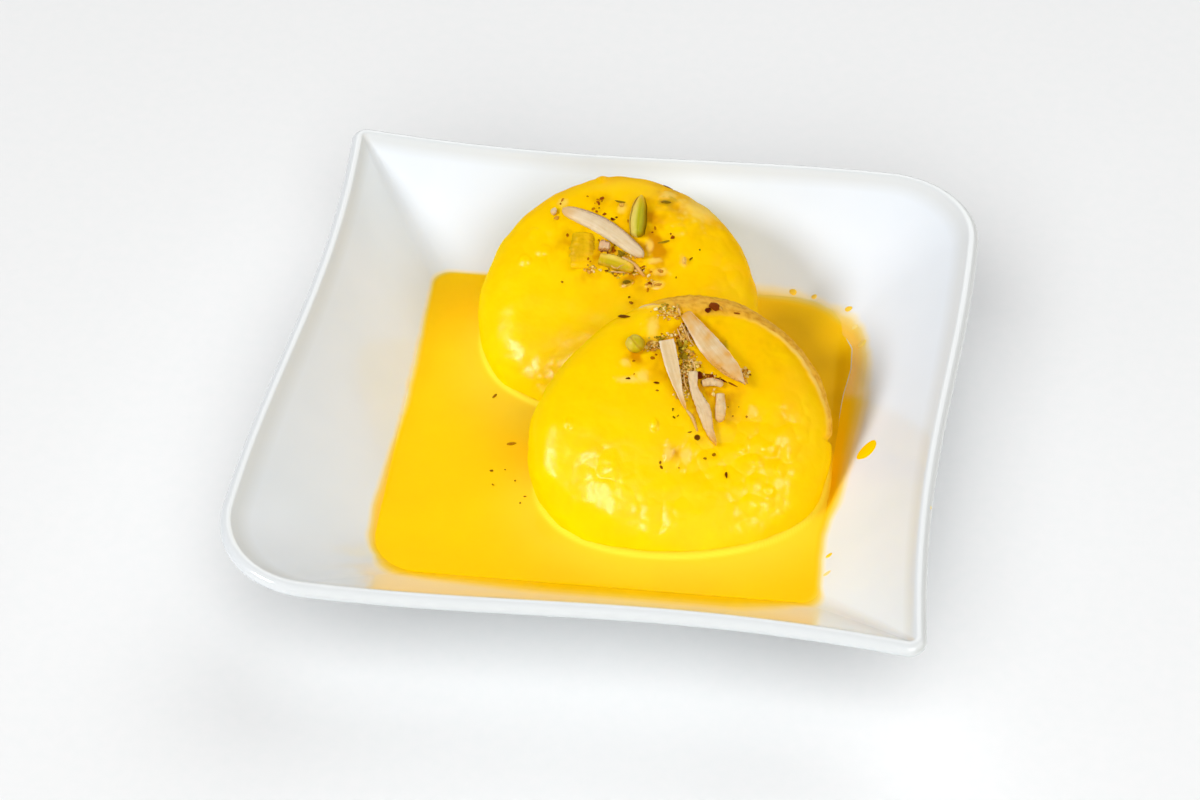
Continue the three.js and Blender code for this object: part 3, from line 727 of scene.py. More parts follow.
def relief(patty, local):
    """How far lumps in the curd lift the surface at points of the patty's own frame."""
    seed = patty["seed"]
    rim = np.clip(np.hypot(local[:, 0], local[:, 1]) / patty["radius"], 0, 1) ** 3
    busy = np.minimum(spots(local, patty["lumpy"]), 1) * (local[:, 2] > 0)
    lift = sum((height + at_rim * rim + where_busy * busy) * ripple(local, size, seed + own)
               for size, own, height, at_rim, where_busy in LUMPS)
    uneven_grains = local + 0.5 * np.column_stack([ripple(local, 2.4, seed + k) for k in (41, 43, 47)])
    lift += CURD_GRAIN_HEIGHT * busy * (pebbled(uneven_grains, CURD_GRAIN, seed) - 0.5)
    lift += sum(share * height for share, height, _ in stain_shares(patty, local))
    if patty is FRONT:
        lift += rim_fold(local)[0]
    return lift


FOLD_RADIUS = 30.2
FOLD_START = (4.6, 6.5)  # directions in degrees from the patty's right, between which it fades in
FOLD_END = (112, 98)
NOTCH_DIRECTION = 4.6


def rim_fold(local):
    """The fold of milk skin over the front patty's upper right rim: its lift, the bare curd outside
    it, tan partly as painted shade, and a painted highlight along the fold's edge."""
    angle = np.degrees(np.arctan2(local[:, 1], local[:, 0]))
    distance = np.hypot(local[:, 0], local[:, 1])
    there = smooth_step(*FOLD_START, angle) * smooth_step(*FOLD_END, angle)
    broad = hump(angle, 88, 17)
    ragged = 0.35 * ripple(local, 1.7, 31)
    edge = FOLD_RADIUS + 0.6 * hump(angle, 17, 14) - 2.9 * broad + ragged
    upper = local[:, 2] > -3
    # Bare curd outside the fold; its tan is partly painted shade.
    outside = smooth_step(-0.3 - 0.9 * broad, 0.3 + 0.9 * broad, distance - edge) * upper * there
    # The crest's pale line is a painted highlight; it also lifts the edge a little.
    crest = hump(distance, edge - 0.1, 0.28) * upper * there * hump(angle, 38, 26)
    notch = hump(angle, NOTCH_DIRECTION, 1.2) * smooth_step(28.6, 31.2, distance) * upper
    fray = (0.16 * ripple(local, 1.3, 33) + 0.1 * ripple(local, 0.7, 35)) * outside
    return 0.2 * outside + 0.2 * crest + fray - 0.8 * notch, outside, 0.8 * crest


def patty_top(patty, x, y):
    share = np.hypot(x, y) / patty_radius(patty, np.arctan2(y, x))
    return patty["above"] * (1 - np.minimum(share, 1) ** PATTY_ROUNDNESS) ** (1 / PATTY_ROUNDNESS)


def over_patty(patty, x, y, lift, follow=1.0):
    """Points that stand lift off the patty's upper side; follow is how much they ride its lumps."""
    x, y, lift = (np.asarray(v, float).ravel() for v in np.broadcast_arrays(x, y, lift))
    step = 0.5
    slope_x = (patty_top(patty, x + step, y) - patty_top(patty, x - step, y)) / (2 * step)
    slope_y = (patty_top(patty, x, y + step) - patty_top(patty, x, y - step)) / (2 * step)
    normal = np.stack([-slope_x, -slope_y, np.ones_like(x)], -1)
    normal /= np.linalg.norm(normal, axis=-1, keepdims=True)
    local = np.stack([x, y, patty_top(patty, x, y)], -1)
    if follow:
        lift = lift + follow * relief(patty, local)
    return to_bowl(patty, local + normal * lift[:, None])


def even_profile(patty, spacing_above, spacing_below):
    """Radius shares and heights down a patty's side, evenly spaced along its curve."""
    power = 2 / PATTY_ROUNDNESS
    tilt = np.radians(np.linspace(90, -90, 4001))
    side = np.maximum(np.cos(tilt), 0) ** power
    thickness = np.where(tilt > 0, patty["above"], patty["below"])
    height = thickness * np.sign(tilt) * np.abs(np.sin(tilt)) ** power
    step = np.hypot(np.diff(side) * patty["radius"], np.diff(height))
    wanted = step / np.where(tilt[1:] > math.radians(-4), spacing_above, spacing_below)
    along = np.concatenate([[0], np.cumsum(wanted)])
    places = np.linspace(0, along[-1], int(along[-1]) + 2)
    return np.interp(places, along, side), np.interp(places, along, height)


PATTY_AROUND = 440
PATTY_SPACING = (0.34, 0.8)  # above and below, in millimetres
PATTIES_APART = 1.01  # as depth_in_patty measures it
WALL_APART = 0.1


def patty_form(patty):
    """The patty's smooth closed form in its own frame, with its outward directions."""
    angles = np.linspace(0, 2 * math.pi, PATTY_AROUND, endpoint=False)
    circle = np.column_stack([np.cos(angles), np.sin(angles)]) * patty_radius(patty, angles)[:, None]
    shares, heights = even_profile(patty, *PATTY_SPACING)
    local, faces = skin_over([
        centre_point(heights[0]),
        *(ring(circle * share, height) for share, height in zip(shares[1:-1], heights[1:-1])),
        centre_point(heights[-1])])
    across = np.hypot(local[:, 0], local[:, 1])
    thickness = np.where(local[:, 2] > 0, patty["above"], patty["below"])
    steepness = (across / patty["radius"]) ** (PATTY_ROUNDNESS - 1) / patty["radius"]
    rise = np.sign(local[:, 2]) * np.abs(local[:, 2] / thickness) ** (PATTY_ROUNDNESS - 1) / thickness
    outward = np.column_stack([local[:, :2] * (steepness / np.maximum(across, 1e-6))[:, None], rise])
    return local, faces, outward / np.linalg.norm(outward, axis=1, keepdims=True)


def patty_shades(patty, local):
    """Where the curd has stains and bare skin, and its painted amber shade round the nuts, painted
    shade on top and painted light low down, at points of the patty's own frame.
    """
    shades = {shade: np.zeros(len(local)) for shade in ("tan", "olive", "bare", "ridge")}
    for share, _, stain in stain_shares(patty, local):
        if stain:
            shades[stain] = np.maximum(shades[stain], 0.75 * share)
    if patty is FRONT:
        _, shades["bare"], shades["ridge"] = rim_fold(local)
    # Painted shade: amber round the nuts, strongest in the hollows between lumps.
    hollow = (0.6 - 1.1 * ripple(local, 2.8, patty["seed"] + 7)
              - 0.6 * ripple(local, 1.2, patty["seed"] + 11))
    painted_nut_shade = spots(local, patty["amber"]) * np.maximum(hollow, 0.1)
    shades["amber"] = np.clip(painted_nut_shade, 0, 0.95) * (local[:, 2] > 0)
    # Painted shade and light: darker towards the top, back and upper rim, lemon low down by the milk.
    across = np.hypot(local[:, 0], local[:, 1]) / patty["radius"]
    upward = (0.45 * local[:, 0] + local[:, 1]) / patty["radius"]
    upper_rim = 0.35 * smooth_step(0.86, 1.02, across) * smooth_step(0.1, 0.7, upward)
    shades["deep"] = (0.42 + 0.3 * upward + upper_rim) * smooth_step(-5.5, -0.5, local[:, 2])
    shades["deep"] += 0.08 * ripple(local, 4, 51)
    return shades


def make_patty(name, patty, material, node, clear_of=None):
    """One patty, pressed flat where it meets the wall and the patty that it lies on."""
    local, faces, outward = patty_form(patty)
    points = to_bowl(patty, local + outward * relief(patty, local)[:, None])
    if clear_of:
        centre = pose(clear_of)[1]
        depth = depth_in_patty(clear_of, points)
        inside = depth < PATTIES_APART
        points[inside] = centre + (points[inside] - centre) / depth[inside, None] * PATTIES_APART
    points[:, 2] = np.maximum(points[:, 2], wall_under(points[:, 0], points[:, 1]) + WALL_APART)
    return make_piece(name, (points, faces), material, patty_shades(patty, local), [node])


# Painted shadow in the milk behind the patties, in plan: place and spread
PAINTED_MILK_SHADOW = ((39.0, 28.0, 8.0), (46.0, 14.0, 7.0), (33.0, 38.0, 7.0), (48.0, 2.0, 6.0))


EDGE_DROP = 0.12
MILK_OFF_WALL = 0.02
EDGE_FINER = 2  # points round the milk for each one round the bowl


def make_milk(material):
    base = wall_outline(MILK_REACH)
    reach = MILK_REACH + np.maximum(full_yellow(plan_angle(base)), 0) + 0.35
    coarse = wall_outline(reach)
    places = np.arange(len(coarse) * EDGE_FINER) / EDGE_FINER
    edge_height, edge_x, edge_y = (
        np.interp(places, np.arange(len(coarse) + 1), np.append(values, values[0]))
        for values in (wall_height(reach) - EDGE_DROP, coarse[:, 0], coarse[:, 1]))
    edge = np.column_stack([edge_x, edge_y])
    rings = [centre_point(FLOOR_HEIGHT + MILK_OFF_WALL)]
    for share in np.linspace(0.2, 0.98, 14):
        points = edge * share
        rings.append(ring(points, np.minimum(wall_under(*points.T), edge_height) + MILK_OFF_WALL))
    rings.append(ring(edge, edge_height))
    under = sum(len(r) for r in rings)
    cover, drawn_up = [np.zeros(under)], [np.zeros(under)]
    cover[0][-len(edge):] = milk_cover_at(edge, reach_under(*edge.T))
    near_wall = np.concatenate([[0.08, 0.16, 0.26], np.arange(0.4, 3, 0.24)])
    for inward in np.concatenate([near_wall, np.arange(3, MILK_HALF - 0.6, 0.55)]):
        points = edge * (1 - inward / MILK_HALF)
        height, lip = milk_surface(points, inward)
        rings.append(ring(points, height))
        cover.append(milk_cover_at(points, reach_under(*points.T)))
        drawn_up.append(lip)
    rings.append(centre_point(MILK_HEIGHT))
    vertices, faces = skin_over(rings)
    shades = {"cover": np.append(np.concatenate(cover), 1.0),
              "deep": np.minimum(spots(vertices, PAINTED_MILK_SHADOW), 0.9),
              "drawn_up": np.append(np.concatenate(drawn_up), 0.0)}
    return make_piece("saffron_milk_pool", (vertices, faces), material, shades,
                      ["saffron_milk"])


DRAWN_UP_HEIGHT = 0.9  # of the milk at a patty, fading over DRAWN_UP_WIDTH
DRAWN_UP_WIDTH = 0.8
SUNK_UNDER_PATTY = 4.0
WALL_BLEND = 0.3  # roundness of the curve from the level milk to the film on the wall


def milk_surface(points, inward):
    """Height of the milk, level but drawn up at the patties and the wall, and its painted waterline light.
    """
    level = ring(points, MILK_HEIGHT)
    height = MILK_HEIGHT + 0.03 * ripple(level, 9, 2)
    lip = np.zeros(len(points))
    for patty in PATTIES:
        away = away_from_patty(patty, level)
        height += (DRAWN_UP_HEIGHT * np.exp(-np.maximum(away, 0) / DRAWN_UP_WIDTH)
                   - SUNK_UNDER_PATTY * smooth_step(-0.4, -3.5, away))
        # Painted highlight on the meniscus, and painted light in a broad lemon band that is wider in front
        # of each patty.
        before = smooth_step(0.3, -0.9, (points[:, 1] - patty["centre"][1]) / patty["radius"])
        glow = 0.6 * hump(away, 0.6, 0.6) + (0.2 + 0.25 * before) * hump(away, 0, 4 + 4 * before)
        lip = np.maximum(lip, glow)
    thickness = 0.4 * smooth_step(0, 2.5, inward) - EDGE_DROP
    film = wall_under(points[:, 0], points[:, 1]) + thickness
    share = smooth_step(0, 0.8, inward)
    level_or_film = np.logaddexp(height / WALL_BLEND, film / WALL_BLEND) * WALL_BLEND
    return share * level_or_film + (1 - share) * film, lip


# Nuts lie in a patty's plane: x to the viewer's right and y up the slope. along is the middle line,
# wide the widths, lift how far the underside stands off the patty at start and end, blunt how round
# each end is, skin the side that kept brown skin, cup how far the sides turn up, crown how far the
# back rises to a ridge. soak is the amber at start and end, wash all over.
PLAIN_NUT = dict(kind="almond", skin=None, cup=0.0, crown=0.0, wash=0.0, pink=0.0)
NUTS = {
    "almond_sliver_back": dict(
        along=((-10.8, 22.2), (-1.9, 16.9), (6.8, 9.2)), wide=(2.3, 3.4, 3.9, 3.6, 2.2), thick=1.4,
        lift=(0.1, 0.5), blunt=(0.6, 0.45), skin="left", cup=-0.25, rough=0.09, soak=(0.55, 0.0),
        pink=0.25),
    "almond_scrap_back": dict(
        along=((-13.0, 21.3), (-12.4, 23.0)), wide=(1.0, 1.2, 0.9), thick=0.9, lift=(0.0, 0.0),
        blunt=(0.4, 0.4), rough=0.25, soak=(0.3, 0.1), wash=0.15),
    "pistachio_sliver_back": dict(
        kind="pistachio", along=((5.6, 13.9), (6.1, 18.7), (6.9, 23.9)), wide=(2.9, 3.8, 3.4, 1.9),
        thick=2.3, lift=(0.1, 0.0), blunt=(0.3, 0.6), skin="right", crown=0.8, rough=0.06,
        soak=(0.0, 0.8)),
    "pistachio_wedge_back": dict(
        kind="soaked", along=((-6.3, 16.2), (-6.9, 12.0), (-7.4, 7.6)), wide=(4.8, 6.0, 5.6), thick=0.9,
        lift=(-0.2, -0.65), blunt=(0.05, 0.12), skin="left", cup=-0.15, crown=0.5, rough=0.22,
        soak=(0.1, 0.9), wash=0.3),
    "pistachio_chip_back": dict(
        kind="pistachio", along=((-3.1, 9.5), (0.4, 8.3), (4.5, 6.3)), wide=(2.5, 3.2, 2.0), thick=1.3,
        lift=(-0.1, 0.0), blunt=(0.06, 0.3), skin="right", cup=0.1, crown=0.2, rough=0.2,
        soak=(0.3, 0.3), wash=0.4),
    "nut_chip_back": dict(
        along=((-2.9, 12.6), (-0.5, 11.9)), wide=(2.3, 2.7, 2.1), thick=1.5, lift=(0.0, 0.1),
        blunt=(0.12, 0.12), skin="both", rough=0.6, soak=(0.2, 0.0), wash=0.2, pink=1.0),
    # The flake's dark lower edge is painted shadow of the gap under it.
    "almond_flake_front": dict(
        along=((-1.9, 26.6), (4.2, 18.4), (11.4, 11.1)), wide=(2.2, 3.7, 4.7, 4.0, 0.7), thick=0.9,
        lift=(0.3, 1.5), blunt=(0.2, 0.7), skin="tip", cup=0.3, crown=0.5, rough=0.09, soak=(0.4, 0.0),
        wash=0.52, pink=0.1),
    "almond_sliver_front": dict(
        along=((-5.6, 19.9), (-4.3, 14.8), (-3.2, 11.2), (-2.1, 8.0), (-0.8, 5.2)),
        wide=(3.1, 3.1, 2.2, 1.3, 0.7), thick=0.9, lift=(0.9, 0.0), blunt=(0.1, 0.5), cup=0.4,
        rough=0.07, soak=(0.0, 0.6), wash=0.18),
    "almond_shard_front": dict(
        along=((0.3, 13.6), (0.7, 9.7), (2.9, 5.5), (4.3, 1.3), (6.0, -2.1)),
        wide=(2.1, 1.8, 2.8, 1.9, 0.6), thick=1.0, lift=(0.5, -0.2), blunt=(0.2, 0.5), rough=0.3,
        soak=(0.0, 0.8), wash=0.12, pink=0.3),
    "almond_chunk_front": dict(
        along=((6.3, 9.2), (6.5, 6.2), (6.5, 3.0)), wide=(1.8, 2.2, 1.7), thick=1.2, lift=(0.0, -0.2),
        blunt=(0.12, 0.4), rough=0.25, soak=(0.1, 0.3), wash=0.5),
    "almond_paring_front": dict(
        along=((2.3, 11.1), (4.5, 11.6), (6.9, 11.2)), wide=(1.4, 1.9, 1.3), thick=0.8, lift=(0.1, 0.1),
        blunt=(0.15, 0.4), crown=0.3, rough=0.3, soak=(0.1, 0.3), wash=0.35, pink=0.2),
}
FIBRE_LENGTH = 5.0
FIBRE_WIDTH = 0.35  # real fibres are about a tenth of a millimetre; drawn coarser to show


def eased(values, count):
    """Values on a smooth curve that passes through the given ones, evenly spaced."""
    values = np.array(values, float)
    last = len(values) - 1
    padded = np.concatenate([[2 * values[0] - values[1]], values, [2 * values[-1] - values[-2]]])
    t = np.linspace(0, last, count)
    index = np.minimum(t.astype(int), last - 1)
    t = (t - index).reshape(-1, *[1] * (values.ndim - 1))
    before, here, there, after = (padded[index + step] for step in range(4))
    return here + t / 2 * (there - before + t * (2 * before - 5 * here + 4 * there - after
                                                 + t * (3 * (here - there) + after - before)))


def curve_through(places, count):
    """Points and headings on a curve through the places."""
    points = eased(places, count)
    heading = np.gradient(points, axis=0)
    return points, heading / np.linalg.norm(heading, axis=1, keepdims=True)


NUT_STEPS = 72
NUT_AROUND = 36
BLUNTEST = 0.04  # share of the width that is left at the very end
FOLLOWS_LUMPS = 0.3


def nut_shades(nut, seed, s, h, along, solid, fibres):
    """Where a nut kept brown skin, is pale, pink or soaked. On pistachios the pale side is painted light
    and the dark side partly painted shade, the almonds' pink side is partly a painted sheen, and the
    almond flake's dark lower edge is painted shadow. s runs from -0.5 to 0.5 across it, h from 0 to 1
    up and along from start to end."""
    wobble = 0.12 * ripple(fibres, 2.0, seed + 5)
    # Brown skin; on pistachios the dark side is partly painted shade.
    skin = {
        None: 0 * s,
        "left": smooth_step(0.22, 0.5, s + wobble),
        "right": smooth_step(0.18, 0.45, -s + wobble),
        "both": smooth_step(0.25, 0.5, np.abs(s) + 2 * wobble),
        # On the almond flake the dark strip along its lower edge is painted shadow of the gap under it; its
        # end is brown skin.
        "tip": np.maximum(smooth_step(0.45, 0.75, along + wobble) * smooth_step(0.2, 0.36, -s + wobble),
                          smooth_step(0.9, 0.98, along + wobble)),
    }[nut["skin"]]
    if nut["kind"] == "almond":
        pale = 0.8 * smooth_step(0.3, 0.5, np.abs(s) + wobble) * (nut["cup"] > 0)
    else:
        # On pistachios the pale side is painted light.
        pale = smooth_step(0.02, 0.3, s + 0.5 * wobble)
    # Pink tint towards one side: partly the almond's own pink, partly a painted sheen gradient.
    pink = np.clip(nut["pink"] * (0.5 + 0.8 * s + 1.2 * wobble), 0, 1)
    start_soak, end_soak = nut["soak"]
    soak = nut["wash"] * (1 + 0.9 * ripple(solid, 3.0, seed + 4) + 0.6 * ripple(solid, 1.2, seed + 6))
    soak += start_soak * smooth_step(0.3, 0.0, along) + end_soak * smooth_step(0.55, 1.0, along)
    soak = np.clip(soak + 0.8 * smooth_step(0.35, 0.05, h + wobble), 0, 1)
    shades = {"skin": skin, "pale": pale, "pink": pink, "soak": soak, "grain": fibres}
    return {key: np.concatenate([values[:1], values, values[-1:]]) for key, values in shades.items()}


def make_nut(name, shape, materials):
    """A cut sliver, chip or wedge: a flat-lying section swept along a curve, with rounded ends,
    uneven edges and fibres raised along it."""
    nut = {**PLAIN_NUT, **shape}
    seed = len(name) + nut["thick"] * 7
    points, heading = curve_through(nut["along"], NUT_STEPS)
    across = np.column_stack([-heading[:, 1], heading[:, 0]])
    distance = np.concatenate([[0], np.cumsum(np.linalg.norm(np.diff(points, axis=0), axis=1))])
    rounding = np.ones(NUT_STEPS)
    for blunt, inward in zip(nut["blunt"], (distance, distance[-1] - distance)):
        reach = max(blunt * max(nut["wide"]), 0.2)
        rounding *= np.sqrt(1 - (1 - np.clip(inward / reach, 0, 1)) ** 2)
    rounding = np.maximum(rounding, BLUNTEST)
    line = np.column_stack([distance, distance * 0, distance * 0])
    width = np.maximum(eased(nut["wide"], NUT_STEPS), 0.3) * rounding
    uneven = 0.14 + 0.5 * nut["rough"]
    width += uneven * (ripple(line, 1.3, seed) + 0.6 * ripple(line, 0.6, seed + 1)) * rounding
    thickness = nut["thick"] * (0.2 + 0.8 * rounding)
    t = np.linspace(0, 1, NUT_STEPS)
    lift = 0.1 + np.interp(t, [0, 1], nut["lift"])
    a = np.linspace(0, 2 * math.pi, NUT_AROUND, endpoint=False)
    section_x = 0.5 * np.sign(np.cos(a)) * np.abs(np.cos(a)) ** 0.6
    section_z = 0.5 + 0.5 * np.sign(np.sin(a)) * np.abs(np.sin(a)) ** 0.8
    x, s = np.meshgrid(distance, section_x, indexing="ij")
    h = np.broadcast_to(section_z, s.shape)
    side = s * width[:, None]
    solid = np.column_stack([x.ravel(), side.ravel(), (h * nut["thick"]).ravel()])
    fibres = solid / [FIBRE_LENGTH, FIBRE_WIDTH, FIBRE_WIDTH]
    raised = 0.03 * ripple(fibres, 1.0, seed) + 0.09 * ripple(solid, 1.1, seed + 2)
    raised = (raised + nut["rough"] * ripple(solid, 0.7, seed + 3)) * (h.ravel() > 0.3)
    crown = 1 - nut["crown"] * np.abs(2 * s) ** 1.8 * (h > 0.5)
    height = lift[:, None] + h * crown * thickness[:, None] + nut["cup"] * (2 * s) ** 2 * rounding[:, None]
    height = height + raised.reshape(height.shape)
    place = points[:, None, :] + across[:, None, :] * side[..., None]
    patty = BACK if name.endswith("back") else FRONT
    outer = over_patty(patty, place[..., 0], place[..., 1], height, FOLLOWS_LUMPS)
    skin = skin_over(capped(list(outer.reshape(NUT_STEPS, NUT_AROUND, 3))))
    shades = nut_shades(nut, seed, s.ravel(), h.ravel(), np.repeat(t, NUT_AROUND), solid, fibres)
    material, slot = materials[nut["kind"]]
    return make_piece(name + "_cut", skin, material, shades, [name])


NIB_PLACE = (-11.9, 18.7)
NIB_RADIUS = 2.0
NIB_SQUASH = 0.85
NIB_STEPS = 30
NIB_AROUND = 48


def make_nib(material):
    """The round tip of a pistachio kernel, folded along a seam."""
    a = np.linspace(0, 2 * math.pi, NIB_AROUND, endpoint=False)
    rings = []
    for tilt in np.radians(np.linspace(-90, 90, NIB_STEPS)):
        flat = math.cos(tilt)
        unit = np.column_stack([np.cos(a) * flat, np.sin(a) * flat, np.full(NIB_AROUND, math.sin(tilt))])
        rings.append(unit[:1] if abs(flat) < 1e-6 else unit)
    unit, faces = skin_over(rings)
    x, y, z = unit.T
    seam = hump(x * 0.8 + y * 0.6 + 0.25 * z, 0.1, 0.12) * (z > -0.2)
    size = NIB_RADIUS * (1 + 0.06 * ripple(unit, 0.7, 3) - 0.09 * seam)
    body = unit * size[:, None] * [1.0, 0.95, NIB_SQUASH]
    middle = NIB_RADIUS * NIB_SQUASH * 0.75
    points = over_patty(FRONT, NIB_PLACE[0] + body[:, 0], NIB_PLACE[1] + body[:, 1],
                        middle + body[:, 2], 0.2)
    # Painted light makes the left top pale and painted shade darkens the right side.
    shades = {"skin": np.clip(0.8 * seam + 0.7 * smooth_step(0.2, 0.9, x), 0, 1),
              "pale": 0.5 * smooth_step(0.2, 0.8, -x + 0.3 * z),
              "soak": 0.3 + 0.6 * smooth_step(0.0, -0.6, z), "grain": body / 0.8}
    return make_piece("pistachio_nib_round", (points, faces), material, shades,
                      ["pistachio_nib_front"])


